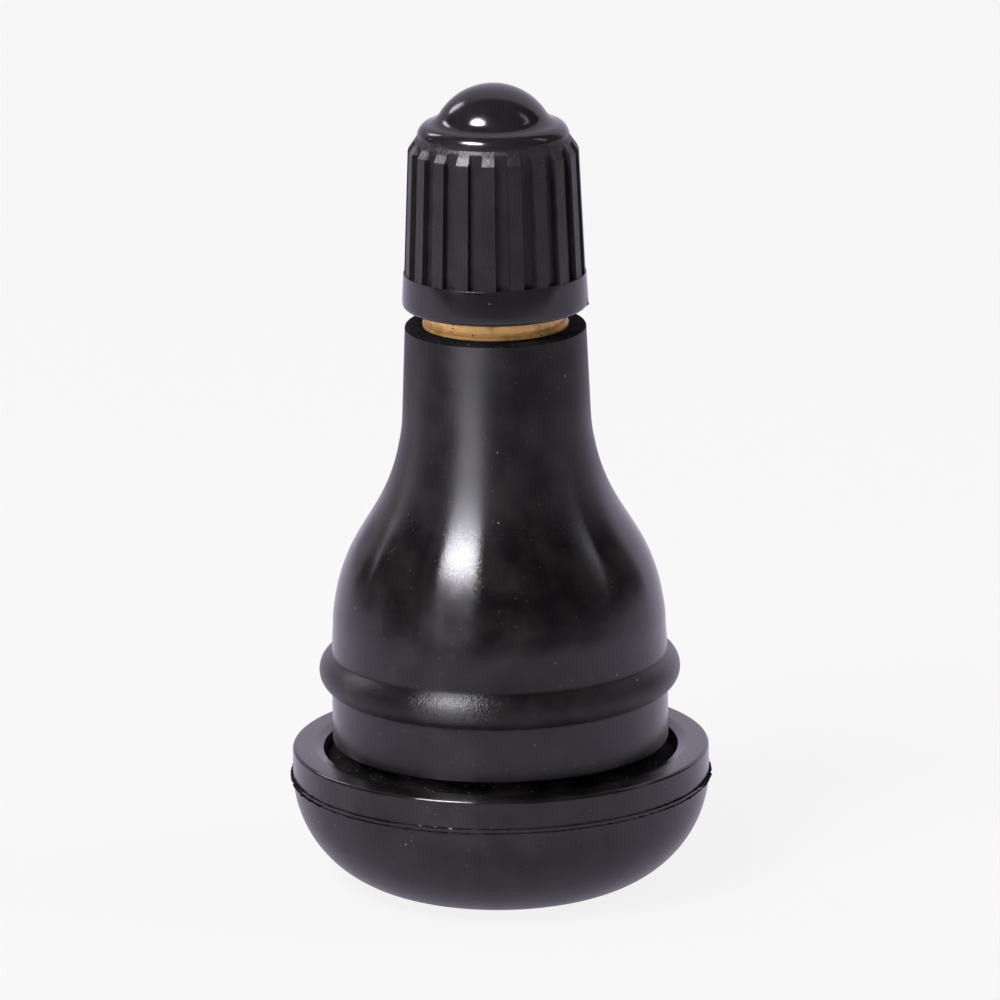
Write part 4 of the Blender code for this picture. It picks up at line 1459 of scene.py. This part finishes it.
@dataclass
class ValveCore:
    """The core: a plug that swivels on a barrel, two gaskets, and a sprung pin with its cup."""

    thread_radius: float = 2.615
    thread_root: float = 2.2
    thread_pitch: float = 0.70556
    head_step: float = 0.5
    head_height: float = 1.2
    bridge_thickness: float = 0.7
    bridge_width: float = 1.9
    plug_chamfer: float = 0.2
    seam_drop: float = 0.3
    stub_length: float = 1.4
    stub_bore: float = 0.75
    stub_radius: float = 1.2
    rim_proud: float = 0.2
    rim_height: float = 0.4
    stub_bore_length: float = 4.7
    flange: float = 2.3
    gasket_bore: float = 1.65
    cone_radius: float = 2.4
    chamber: float = 2.0
    lip_height: float = 0.45
    lip_cone: float = 0.15
    ledge: float = 1.0
    spring_bore: float = 1.35
    seat_gap: float = 0.05
    run_clearance: float = 0.1
    pin_radius: float = 0.6
    pin_tip: float = 0.15
    pin_collar_height: float = 0.4
    pin_head_proud: float = 0.35
    pin_head_height: float = 0.4
    coil_radius: float = 0.975
    wire_radius: float = 0.125
    spring_turns: int = 9
    spring_steps: int = 40
    wire_sides: int = 14
    end_pitch: float = 0.29
    travel: float = 1.5
    cup_wall: float = 0.15
    cup_floor: float = 0.2
    columns: int = 96

    def __post_init__(self) -> None:
        """Takes the levels of the core's pieces from the frame."""
        self.plug_foot, self.plug_top = heights("core_plug")
        self.barrel_foot, self.stub_top = heights("core_barrel")
        self.barrel_top = self.stub_top - self.stub_length
        self.gasket_foot, self.gasket_top = heights("barrel_gasket")
        self.pin_foot, self.pin_top = heights("core_pin")
        self.cup_foot, self.cup_top = heights("pin_cup")
        self.spring_foot, self.spring_top = heights("core_spring")
        self.angles = ring_angles(self.columns)

    def ring(self, name: str, corners: Sequence[Corner]) -> bpy.types.Object:
        """A closed ring whose section is a rounded line that ends where it starts."""
        return new_object(name, [turned(filleted(corners), self.angles)])

    def plug(self, brass: bpy.types.Material) -> None:
        """Makes the threaded plug, whose head is milled on two sides to a bridge.

        Args:
            brass: Its material.
        """
        shoulder = self.plug_top - self.head_height
        head = self.thread_radius - self.head_step
        chamfer = self.plug_chamfer
        bore = self.stub_radius + self.run_clearance
        room = bore + self.rim_proud
        swivel = self.stub_top - self.rim_height - self.run_clearance
        bridge_foot = self.plug_top - self.bridge_thickness
        top = filleted([
            (self.stub_bore, self.plug_top - self.seam_drop, 0.0),
            (self.stub_bore, self.plug_top, 0.06),
            (head, self.plug_top, chamfer),
            (head, shoulder, 0.03),
            (self.thread_radius - chamfer, shoulder, 0.0),
        ])
        inside = filleted([
            (self.thread_radius - chamfer, self.plug_foot, 0.0),
            (bore, self.plug_foot, 0.03),
            (bore, swivel, 0.03),
            (room, swivel, 0.03),
            (room, bridge_foot, 0.05),
            (self.stub_bore, bridge_foot, 0.03),
            (self.stub_bore, self.plug_top - self.seam_drop, 0.0),
        ])
        form = Thread(self.thread_pitch, self.thread_root, self.thread_radius)

        def ends(radius: np.ndarray, height: np.ndarray) -> np.ndarray:
            """Cuts the thread with a chamfer at both ends."""
            lead = self.thread_radius - chamfer
            return np.minimum(radius, lead + np.minimum(shoulder - height, height - self.plug_foot))

        wall = form.wall(self.plug_foot, shoulder, self.angles, Run.DOWN, ends)
        sheet = closed([turned(top, self.angles), wall, turned(inside, self.angles)])
        obj = new_object("threaded_plug", [sheet])
        self.mill_head(obj, shoulder)
        seat(obj, Body.PLUG, Slot.BRASS, brass, "core_plug")

    def mill_head(self, obj: bpy.types.Object, shoulder: float) -> None:
        """Takes both sides of the head off with two boxes, which stand on the shoulder.

        Args:
            obj: The plug.
            shoulder: Level of its shoulder.
        """
        shape = bmesh.new()
        width, depth = 2 * self.thread_radius, 2 * self.head_height
        for side in (-1, 1):
            place = Vector((0.0, side * (self.bridge_width + width) / 2, shoulder + depth / 2))
            corners = bmesh.ops.create_cube(shape, size=1.0)["verts"]
            size = Matrix.Diagonal((2 * width, width, depth, 1.0))
            into = Matrix.Scale(MILLIMETRE, 4) @ Matrix.Translation(place) @ size
            bmesh.ops.transform(shape, matrix=into, verts=corners)
        mesh = bpy.data.meshes.new("milling_boxes")
        shape.to_mesh(mesh)
        shape.free()
        boxes = add_object("milling_boxes", mesh)
        milling = obj.modifiers.new("milling", "BOOLEAN")
        milling.operation = "DIFFERENCE"
        milling.object = boxes
        graph = bpy.context.evaluated_depsgraph_get()
        milled = bpy.data.meshes.new_from_object(obj.evaluated_get(graph))
        obj.modifiers.clear()
        obj.data = milled
        smooth(milled)
        bpy.data.objects.remove(boxes)

    def barrel(self, brass: bpy.types.Material) -> None:
        """Makes the barrel: a rimmed stub, a gasket groove, and a tube round the spring.

        Args:
            brass: Its material.
        """
        rim = self.stub_radius + self.rim_proud
        groove = self.gasket_bore - self.seat_gap
        groove_top = self.gasket_top + self.seat_gap
        lip_top = self.gasket_foot - self.seat_gap
        lip = self.chamber - self.run_clearance
        tube = reach("pin_cup")
        roof = self.stub_top - self.stub_bore_length
        ledge_top = self.barrel_foot + self.ledge
        obj = self.ring("core_tube", [
            (self.stub_bore, self.stub_top, 0.0),
            (self.stub_radius, self.stub_top, 0.03),
            (rim, self.stub_top - self.rim_proud, 0.05),
            (rim, self.stub_top - self.rim_height, 0.04),
            (self.stub_radius, self.stub_top - self.rim_height, 0.03),
            (self.stub_radius, self.barrel_top, 0.04),
            (self.flange, self.barrel_top, 0.06),
            (self.flange, groove_top, 0.05),
            (groove, groove_top, 0.03),
            (groove, lip_top, 0.03),
            (lip, lip_top, 0.05),
            (lip, lip_top - self.lip_height, 0.05),
            (tube, lip_top - self.lip_height - self.lip_cone, 0.08),
            (tube, self.barrel_foot, 0.06),
            (self.stub_bore, self.barrel_foot, 0.05),
            (self.stub_bore, ledge_top, 0.03),
            (self.spring_bore, ledge_top, 0.04),
            (self.spring_bore, roof, 0.04),
            (self.stub_bore, roof, 0.03),
            (self.stub_bore, self.stub_top, 0.0),
        ])
        seat(obj, Body.CORE, Slot.BRASS, brass, "core_barrel")

    def gaskets(self, red: bpy.types.Material, black: bpy.types.Material) -> None:
        """Makes the conical gasket round the barrel and the flat one in the cup.

        Args:
            red: Material of the barrel's gasket.
            black: Material of the cup's gasket.
        """
        wide, narrow = self.cone_radius - self.seat_gap, self.chamber - self.seat_gap
        obj = self.ring("cone_gasket", [
            (self.gasket_bore, self.gasket_top, 0.0),
            (wide, self.gasket_top, 0.1),
            (narrow, self.gasket_foot, 0.08),
            (self.gasket_bore, self.gasket_foot, 0.04),
            (self.gasket_bore, self.gasket_top, 0.0),
        ])
        seat(obj, Body.CORE, Slot.GASKET_RED, red, "barrel_gasket")
        inner, outer = self.pin_radius + self.seat_gap, reach("cup_gasket")
        low, high = heights("cup_gasket")
        obj = self.ring("cup_ring", [
            (inner, high, 0.0),
            (outer, high, 0.1),
            (outer, low, 0.06),
            (inner, low, 0.04),
            (inner, high, 0.0),
        ])
        seat(obj, Body.PIN, Slot.SEAL_RUBBER, black, "cup_gasket")

    def pin(self, brass: bpy.types.Material) -> None:
        """Makes the pin with its collar and riveted head, and the pressed cup above the head.

        Args:
            brass: Their material.
        """
        collar = self.coil_radius + self.wire_radius
        collar_foot = self.spring_top + self.seat_gap
        collar_top = collar_foot + self.pin_collar_height
        head_top = self.pin_foot + self.pin_head_height
        head = self.pin_radius + self.pin_head_proud
        line = filleted([
            (0.0, self.pin_top, 0.0),
            (self.pin_radius, self.pin_top, self.pin_tip),
            (self.pin_radius, collar_top, 0.05),
            (collar, collar_top, 0.06),
            (collar, collar_foot, 0.06),
            (self.pin_radius, collar_foot, 0.05),
            (self.pin_radius, head_top, 0.03),
            (head, head_top, 0.05),
            (head, self.pin_foot + self.pin_head_height / 2, 0.12),
            (self.pin_radius, self.pin_foot, 0.1),
            (0.0, self.pin_foot, 0.0),
        ])
        rod = new_object("pin_rod", [turned(line, self.angles)])
        seat(rod, Body.PIN, Slot.BRASS, brass, "core_pin")
        outer = reach("pin_cup")
        inner = self.pin_radius + self.seat_gap
        floor = self.cup_foot + self.cup_floor
        cup = self.ring("pressed_cup", [
            (outer - self.cup_wall, self.cup_top, 0.0),
            (outer - self.cup_wall / 2, self.cup_top, 0.0),
            (outer, self.cup_top, 0.05),
            (outer, self.cup_foot, 0.2),
            (inner, self.cup_foot, 0.04),
            (inner, floor, 0.04),
            (outer - self.cup_wall, floor, 0.08),
            (outer - self.cup_wall, self.cup_top, 0.0),
        ])
        seat(cup, Body.PIN, Slot.BRASS, brass, "pin_cup")

    def spring(self, steel: bpy.types.Material) -> None:
        """Makes the spring.

        Its centre line turns evenly and rises by end_pitch in each end turn and faster between
        them. The wire's section is a circle in the plane of the radius and the axis, and closes to
        a point at both ends.

        Args:
            steel: Its material.
        """
        height = self.spring_top - self.spring_foot - 2 * self.wire_radius
        active_turns = self.spring_turns - 2
        pitch = (height - 2 * self.end_pitch) / active_turns
        turn = np.linspace(0, self.spring_turns, self.spring_turns * self.spring_steps + 1)
        active = np.clip(turn - 1, 0, active_turns)
        rise = (turn - active) * self.end_pitch + active * pitch
        swell = np.full(turn.size, self.wire_radius)
        swell[[0, -1]] = 0.0
        around = ring_angles(self.wire_sides)[None]
        radius = self.coil_radius + swell[:, None] * np.cos(around)
        middle = self.spring_foot + self.wire_radius + rise[:, None]
        level = middle + swell[:, None] * np.sin(around)
        obj = new_object("coil_spring", [placed(radius, level, FULL_TURN * turn[:, None])])
        seat(obj, Body.CORE, Slot.SPRING_STEEL, steel, "core_spring")
        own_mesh(obj)

    def build(
        self,
        brass: bpy.types.Material,
        red: bpy.types.Material,
        black: bpy.types.Material,
        steel: bpy.types.Material,
    ) -> None:
        """Makes the core's pieces.

        Args:
            brass: Material of the metal pieces.
            red: Material of the barrel's gasket.
            black: Material of the cup's gasket.
            steel: Material of the spring.
        """
        self.plug(brass)
        self.barrel(brass)
        self.gaskets(red, black)
        self.pin(brass)
        self.spring(steel)


@dataclass
class DustCap:
    """The ribbed cap with its smooth band and crown, an inner thread, and its sealing ring."""

    bore: float = 3.975
    thread_crest: float = 3.55
    thread_pitch: float = 0.79375
    mouth_round: float = 0.3
    mouth_chamfer: float = 0.3
    draft: float = math.radians(2.4)
    band_height: float = 2.0
    band_ledge: float = 0.06
    ribs: int = 20
    rib_proud: float = 0.38
    rib_phase: float = math.radians(-93.7)
    rib_end_depth: float = 0.5
    rib_chamfer_height: float = 0.5
    rib_chamfer_run: float = 0.35
    groove_from: float = 4.3
    groove_to: float = 4.75
    groove_ease: Point = (0.15, 0.2)
    shoulder_round: float = 0.8
    shoulder_set_in: float = 0.52
    shoulder_rise: float = 0.26
    crown_fillet: float = 1.2
    crown_round: float = 3.55
    crown_height: float = 3.2
    crown_wall: float = 1.4
    seal_gap: float = 0.05
    seal_grip: float = 0.3
    seal_hole: float = 1.2
    nib_angle: float = math.radians(-8.2)
    nib_spread: float = math.radians(0.9)
    nib_proud: float = 0.1
    nib_level: float = 0.22
    nib_height: float = 0.12
    band_straight: float = 0.6
    thread_flats: Point = (0.06, 0.3)
    thread_rows: int = 10
    seal_columns: int = 96

    def __post_init__(self) -> None:
        """Works out the levels and radii that several outlines share."""
        self.mouth, self.crown_top = heights("valve_cap")
        self.radius = reach_near("valve_cap", self.mouth + 0.5)
        self.stem_mouth = heights("valve_stem")[1]
        self.seal_radius = reach("cap_seal")
        self.roof = self.crown_top - self.crown_height
        self.band_top = self.mouth + self.band_height
        slope = math.tan(self.draft)
        self.crest_foot = self.radius - self.band_height * slope - self.band_ledge
        self.rib_end = self.roof - self.rib_end_depth
        self.crest_end = self.crest_foot - (self.rib_end - self.band_top) * slope
        self.ledge = self.rib_end + self.rib_chamfer_height
        self.angles = self.column_angles()

    def column_angles(self) -> np.ndarray:
        """Angles that crowd at both edges of each rib and spread over its crest and its groove."""
        half = 180 / self.ribs
        low, high = self.groove_from, self.groove_to
        inner, outer = self.groove_ease
        edge = [low - outer, low, low + inner, (low + high) / 2, high - inner, high, high + outer]
        side = np.concatenate([[0.0, low / 2], edge, [(high + half) / 2]])
        stops = np.concatenate([[-half], -side[:0:-1], side])
        starts = self.rib_phase + np.arange(self.ribs) * FULL_TURN / self.ribs
        angles = (starts[:, None] + np.radians(stops)[None]).ravel()
        return np.append(angles, angles[0] + FULL_TURN)

    def crown_outline(self) -> np.ndarray:
        """Crown, hollow fillet and shoulder: three tangent arcs from the axis outwards.

        The fillet's centre lies crown plus fillet radius from the crown's centre and shoulder plus
        fillet radius from the shoulder's.

        Returns:
            The outline.
        """
        crown = (0.0, self.crown_top - self.crown_round)
        edge = self.crest_end - self.shoulder_set_in
        shoulder = (edge - self.shoulder_round, self.roof + self.shoulder_rise)
        apart = math.dist(crown, shoulder)
        to_crown = self.crown_round + self.crown_fillet
        to_shoulder = self.shoulder_round + self.crown_fillet
        along = (to_crown**2 - to_shoulder**2 + apart**2) / (2 * apart)
        lean = math.atan2(shoulder[1] - crown[1], shoulder[0] - crown[0])
        meet = lean + math.acos(along / to_crown)
        fillet = (crown[0] + to_crown * math.cos(meet), crown[1] + to_crown * math.sin(meet))
        leave = math.atan2(fillet[1] - shoulder[1], fillet[0] - shoulder[0])
        return np.concatenate([
            arc(crown, self.crown_round, math.pi / 2, meet),
            arc(fillet, self.crown_fillet, math.pi + meet, math.pi + leave)[1:],
            arc(shoulder, self.shoulder_round, leave, 0.0)[1:],
        ])

    def ribbed(self, line: np.ndarray) -> np.ndarray:
        """Turns the ribs' outline, with flat crests and flat grooves.

        With t the angle from the nearest rib's middle, a crest's radius is the line's times
        cos(half crest) / cos t. A groove's floor leans with the draft and is flat about the
        groove's middle, and a smooth step in t leads from the crest to it.

        Args:
            line: The crest's outline.

        Returns:
            The sheet.
        """
        pitch = FULL_TURN / self.ribs
        apart = self.angles - self.rib_phase
        t = np.abs(apart - pitch * np.round(apart / pitch))[None]
        radius, height = line[:, :1], line[:, 1:]
        start, end = math.radians(self.groove_from), math.radians(self.groove_to)
        crest = radius * math.cos(start) / np.cos(np.minimum(t, start))
        floor = self.crest_foot - self.rib_proud - (height - self.band_top) * math.tan(self.draft)
        floor = floor / np.cos(np.minimum(pitch / 2 - t, pitch / 2 - end))
        share = smooth_share(t, start, end)
        return placed(crest - share * np.maximum(crest - floor, 0.0), height, self.angles[None])

    def band(self) -> np.ndarray:
        """The smooth band down to the mouth, with the mould's small nib on its lower edge.

        The nib stands out by nib_proud times the bell curves of the angle from its middle over
        nib_spread and of the height from its level over nib_height.

        Returns:
            The sheet.
        """
        line = filleted([
            (self.crest_foot + 0.5 * self.band_ledge, self.band_top, 0.0),
            (self.crest_foot + self.band_ledge, self.band_top, 0.03),
            (self.radius, self.mouth + self.band_straight, 0.0),
            (self.radius, self.mouth, self.mouth_round),
            (self.bore + self.mouth_chamfer, self.mouth, 0.08),
            (self.bore, self.mouth + self.mouth_chamfer, 0.0),
        ])
        apart = np.remainder(self.angles - self.nib_angle + math.pi, FULL_TURN) - math.pi
        near = np.exp(-((apart / self.nib_spread) ** 2))[None]
        level = np.exp(-(((line[:, 1:] - self.mouth - self.nib_level) / self.nib_height) ** 2))
        outside = (line[:, :1] > self.radius - self.mouth_round).astype(float)
        radius = line[:, :1] + self.nib_proud * near * level * outside
        return placed(radius, line[:, 1:], self.angles[None])

    def inside(self) -> list[np.ndarray]:
        """The inner thread, the room for the sealing ring and the hollow under the crown.

        Returns:
            The sheets, from the mouth up to the axis.
        """
        form = Thread(
            self.thread_pitch, self.thread_crest, self.bore, *self.thread_flats, self.thread_rows
        )
        low, high = self.mouth + self.mouth_chamfer, self.stem_mouth - self.seal_grip

        def ends(radius: np.ndarray, height: np.ndarray) -> np.ndarray:
            """Opens the thread with a cone at the mouth and another at its upper end."""
            return np.maximum(radius, self.bore - np.minimum(height - low, high - height))

        hollow = self.crown_round - self.crown_wall
        level = self.crown_top - self.crown_round
        edge = math.sqrt(hollow**2 - (self.roof - level) ** 2)
        start = math.atan2(self.roof - level, edge)
        room = self.seal_radius + self.seal_gap
        line = [(room, high, 0.0), (room, self.roof, 0.1), (edge, self.roof, 0.0)]
        return [
            form.wall(low, high, self.angles, Run.UP, ends),
            turned(filleted(line), self.angles),
            turned(arc((0.0, level), hollow, start, math.pi / 2), self.angles),
        ]

    def build(self, plastic: bpy.types.Material, rubber: bpy.types.Material) -> None:
        """Makes the cap and its sealing ring.

        Args:
            plastic: The cap's material.
            rubber: The ring's material.
        """
        edge = (self.crest_end - self.shoulder_set_in, self.roof + self.shoulder_rise)
        ledge = (self.crest_end - self.rib_chamfer_run, self.ledge)
        ribs = filleted([
            (*edge, 0.0),
            (*ledge, 0.2),
            (self.crest_end, self.rib_end, 0.15),
            (self.crest_foot, self.band_top, 0.0),
        ])
        shares = np.linspace(0.0, 1.0, 6)[1:-1, None]
        ribs = np.concatenate([ribs[:1], (1 - shares) * ribs[:1] + shares * ribs[1:2], ribs[1:]])
        crown = turned(self.crown_outline(), self.angles)
        shell = np.concatenate([crown, self.ribbed(ribs), self.band(), *self.inside()])
        seat(new_object("cap_shell", [shell]), Body.CAP, Slot.CAP_PLASTIC, plastic, "valve_cap")
        low, high = heights("cap_seal")
        ring = filleted([
            (self.seal_hole, high, 0.0),
            (self.seal_radius, high, 0.12),
            (self.seal_radius, low, 0.12),
            (self.seal_hole, low, 0.1),
            (self.seal_hole, high, 0.0),
        ])
        obj = new_object("sealing_ring", [turned(ring, ring_angles(self.seal_columns))])
        seat(obj, Body.SEAL, Slot.SEAL_RUBBER, rubber, "cap_seal")


# Studio


@dataclass(frozen=True)
class SoftBox:
    """An oval lamp that faces the valve.

    Attributes:
        name: Name of the lamp.
        azimuth: Its direction in degrees, from the front towards the right.
        elevation: Its direction in degrees, above the floor.
        width: Width in metres.
        height: Height in metres.
        radiance: How bright its face looks in gloss, where a white wall in full light is 1.
        lit: How bright its face is for matt surfaces.
        distance: Distance in metres.
        tint: Colour of its light.
    """

    name: str
    azimuth: float
    elevation: float
    width: float
    height: float
    radiance: float
    lit: float
    distance: float = 0.7
    tint: Colour = (0.99, 0.97, 1.06)

    def build(self, target: Vector) -> None:
        """Makes the lamp's two parts, one for gloss and one for matt surfaces.

        Args:
            target: The point that it faces.
        """
        self.part(target, self.radiance).visible_diffuse = False
        if self.lit:
            self.part(target, self.lit).visible_glossy = False

    def part(self, target: Vector, radiance: float) -> bpy.types.Object:
        """One part of the lamp. An oval has pi / 4 of the power that its rectangle would have.

        Args:
            target: The point that it faces.
            radiance: How bright its face is.

        Returns:
            The part, which the camera doesn't see.
        """
        lamp = bpy.data.lights.new(self.name, "AREA")
        lamp.shape = "ELLIPSE"
        lamp.size, lamp.size_y = self.width, self.height
        lamp.color = self.tint
        lamp.energy = radiance * math.pi * self.width * self.height * math.pi / 4
        obj = add_object(self.name, lamp)
        turn, lift = math.radians(self.azimuth), math.radians(self.elevation)
        level = math.cos(lift)
        ray = Vector((math.sin(turn) * level, -math.cos(turn) * level, math.sin(lift)))
        obj.location = target + self.distance * ray
        obj.rotation_euler = ray.to_track_quat("Z", "Y").to_euler()
        obj.visible_camera = False
        return obj


@dataclass
class Studio:
    """Camera, floor, backdrop and lamps. The camera looks along +Y and down.

    Attributes:
        target_height: Level that the camera and the lamps face.
        distance: How far the camera is from there.
        elevation: Its direction above the floor.
        roll: How far it is turned about its line of sight.
        lens: Its focal length.
        shift: Shift of its picture, across and up.
        floor_half: Half the floor's side, in metres.
        pale: Colour of the floor and the backdrop.
        seen_in_gloss: Their colour in reflections.
        room: Colour of the dark room in reflections.
        dim_side: How bright the pale patch is on the left, next to the right.
        dim_from: Sideways part of the direction from which it gets brighter.
        ambient: Colour of the even light on matt surfaces.
        glow_share: How much of the floor's colour the camera sees without light or shadow.
        base_shade: Distances from the axis between which the reflected floor gets paler, in metres.
        shade_depth: How pale it is at both.
        front_fade: Places in front of the valve between which it fades in, in metres.
        backdrop_lift: Direction of the pale patch's middle above the floor.
        backdrop_edge: Angles from its middle where it ends and where it is full, in degrees.
    """

    target_height: float = 22.15
    distance: float = 500.0
    elevation: float = math.radians(14.91)
    roll: float = math.radians(-0.72)
    lens: float = 318.31
    shift: Point = (0.0023, -0.0005)
    floor_half: float = 3.0
    pale: Colour = (0.955, 0.955, 0.955)
    seen_in_gloss: Colour = (0.82, 0.74, 0.93)
    room: Colour = (0.035, 0.033, 0.032)
    dim_side: float = 0.5
    dim_from: float = -0.6
    ambient: Colour = (0.25, 0.25, 0.25)
    glow_share: float = 0.9
    base_shade: Point = (0.012, 0.034)
    shade_depth: Point = (0.6, 1.05)
    front_fade: Point = (-0.24, -0.03)
    backdrop_lift: float = math.radians(20)
    backdrop_edge: Point = (55.0, 48.0)

    def camera(self) -> None:
        """Places the camera, without any focus blur."""
        data = bpy.data.cameras.new("camera")
        data.sensor_width = 36.0
        data.lens = self.lens
        data.shift_x, data.shift_y = self.shift
        data.clip_start, data.clip_end = 0.02, 50.0
        obj = add_object("camera", data)
        away = Vector((0.0, -math.cos(self.elevation), math.sin(self.elevation)))
        place = Vector((0.0, 0.0, self.target_height)) + self.distance * away
        look = away.to_track_quat("Z", "Y").to_matrix().to_4x4()
        turn = look @ Matrix.Rotation(self.roll, 4, "Z")
        obj.matrix_world = Matrix.Translation(place * MILLIMETRE) @ turn
        bpy.context.scene.camera = obj

    def backdrop_share(self, wiring: Wiring, direction: object) -> Socket:
        """How pale a direction is: a round patch behind and above the valve, dimmer on the left.

        Args:
            wiring: The wiring.
            direction: The direction.

        Returns:
            1 inside the patch, 0 outside it, and between them at its soft edge and its dim side.
        """
        middle = (0.0, math.cos(self.backdrop_lift), math.sin(self.backdrop_lift))
        dot = wiring.vector("DOT_PRODUCT", direction, middle)
        outer, inner = (math.cos(math.radians(edge)) for edge in self.backdrop_edge)
        side = wiring.between(wiring.axes(direction)[0], self.dim_from, 0.0, self.dim_side, 1.0)
        return wiring.math("MULTIPLY", wiring.between(dot, outer, inner), side)

    def straight_rays(self, wiring: Wiring) -> tuple[Socket, Socket]:
        """Which rays come from the camera, and which from gloss or glass.

        Args:
            wiring: The wiring.

        Returns:
            Both masks.
        """
        path = wiring.node("ShaderNodeLightPath").outputs
        mirrored = wiring.math("MAXIMUM", path["Is Glossy Ray"], path["Is Transmission Ray"])
        return path["Is Camera Ray"], mirrored

    def world(self) -> None:
        """A pale backdrop for the camera, a dark room and a pale patch for gloss, and even light."""
        world = bpy.data.worlds.new("studio")
        bpy.context.scene.world = world
        world.use_nodes = True
        wiring = Wiring(world.node_tree)
        direction = wiring.node("ShaderNodeTexCoord").outputs["Generated"]
        share = self.backdrop_share(wiring, direction)
        camera, mirrored = self.straight_rays(wiring)
        around = wiring.blend(share, self.room, self.seen_in_gloss)
        colour = wiring.blend(mirrored, self.ambient, around)
        colour = wiring.blend(camera, colour, self.pale)
        wiring.feed(world.node_tree.nodes["Background"].inputs["Color"], colour)

    def floor(self) -> None:
        """A pale floor that keeps the valve's shadow, darker in gloss towards the front."""
        half = self.floor_half
        mesh = bpy.data.meshes.new("floor")
        corners = [(-half, -half, 0), (half, -half, 0), (half, half, 0), (-half, half, 0)]
        mesh.from_pydata(corners, [], [(0, 1, 2, 3)])
        add_object("floor", mesh)
        material = bpy.data.materials.new("pale_floor")
        material.use_nodes = True
        mesh.materials.append(material)
        tree = material.node_tree
        tree.nodes.remove(tree.nodes["Principled BSDF"])
        wiring = Wiring(tree)
        place = wiring.object_place()
        # The floor seen in gloss is painted darker near the valve's base: a painted shadow of the
        # valve.
        shade = wiring.between(wiring.vector("LENGTH", place), *self.base_shade, *self.shade_depth)
        ahead = wiring.between(wiring.axes(place)[1], *self.front_fade)
        near = wiring.math("MULTIPLY", ahead, shade)
        mirrored_colour = wiring.blend(near, self.room, self.seen_in_gloss)
        camera, mirrored = self.straight_rays(wiring)
        colour = wiring.blend(mirrored, self.pale, mirrored_colour)
        glow = wiring.node("ShaderNodeEmission", {"Color": colour})
        lit = wiring.node("ShaderNodeBsdfDiffuse", {"Color": self.pale})
        share = wiring.math("MAXIMUM", wiring.math("MULTIPLY", camera, self.glow_share), mirrored)
        inputs = {0: share, 1: lit.outputs[0], 2: glow.outputs[0]}
        mixed = wiring.node("ShaderNodeMixShader", inputs)
        wiring.feed(tree.nodes["Material Output"].inputs["Surface"], mixed.outputs[0])

    def build(self) -> None:
        """Sets up the camera first, then the floor, the world and the lamps."""
        scene = bpy.context.scene
        scene.view_settings.view_transform = "Standard"
        self.camera()
        self.floor()
        self.world()
        target = Vector((0.0, 0.0, self.target_height)) * MILLIMETRE
        for lamp in (
            SoftBox("key", -41.0, 50.0, 0.33, 0.22, 46.0, 20.0),
            SoftBox("right_fill", 92.0, 37.0, 0.08, 0.38, 2.3, 10.0),
            SoftBox("left_rim", -132.0, 35.0, 0.11, 0.24, 7.6, 5.0),
            SoftBox("left_low", -116.0, 18.0, 0.05, 0.05, 4.0, 0.0),
            SoftBox("low_fill", -48.0, 7.0, 0.26, 0.15, 1.0, 22.0),
        ):
            lamp.build(target)
        LOG.info("studio is set")


def main() -> None:
    """Builds the studio and the sub-assemblies in order."""
    logging.basicConfig(level=logging.INFO, format="%(message)s")
    Studio().build()
    body, cap = RubberBody(), DustCap()
    rubber = MouldedRubber(
        "moulded_rubber",
        (0.0032, 0.0026, 0.0031),
        0.15,
        neck=(body.bulb_level + 5.4, body.bulb_level + 10.3),
        lip=(body.top - 5.5, body.top - 0.3),
        coarse=(body.bead_foot, body.bulb_level - 1.5),
        painted_rays=(-2.25, -8.3, 20.25),
    ).material()
    # Near-black matt rubber: the flash's torn rubber, and painted shade in the rim groove.
    torn_and_shaded = MouldedRubber(
        "torn_and_shaded_rubber",
        (0.0012, 0.0011, 0.0012),
        0.8,
        film=0.0,
        gloss=0.08,
        ring_grain=0.0,
        speckle=0.3,
        speckle_cover=0.3,
    ).material()
    brass = TurnedBrass(
        "turned_brass",
        (0.95, 0.56, 0.2),
        0.28,
        metallic=1.0,
        weathered=(body.top - 0.5, body.top + 1.6),
    ).material()
    plastic = MouldedPlastic(
        "moulded_plastic",
        (0.0126, 0.0114, 0.0122),
        0.12,
        satin_roughness=0.42,
        satin_from=cap.band_top,
        satin_to=cap.roof + cap.shoulder_rise,
        wear_and_sheen=(cap.crest_end - 0.34, cap.rib_end + 0.02, cap.ledge - 0.08),
    ).material()
    seal = SoftSeal("seal_rubber", (0.03, 0.03, 0.03), 0.55).material()
    red = SoftSeal("red_gasket", (0.42, 0.03, 0.02), 0.42, wear_and_sheen=(0.3, 0.02, 0.015)).material()
    steel = DrawnWire("spring_wire", (0.55, 0.55, 0.57), 0.25, metallic=1.0).material()
    body.build(rubber, torn_and_shaded)
    BrassStem().build(brass)
    ValveCore().build(brass, red, seal, steel)
    cap.build(plastic, seal)


if __name__ == "__main__":
    main()
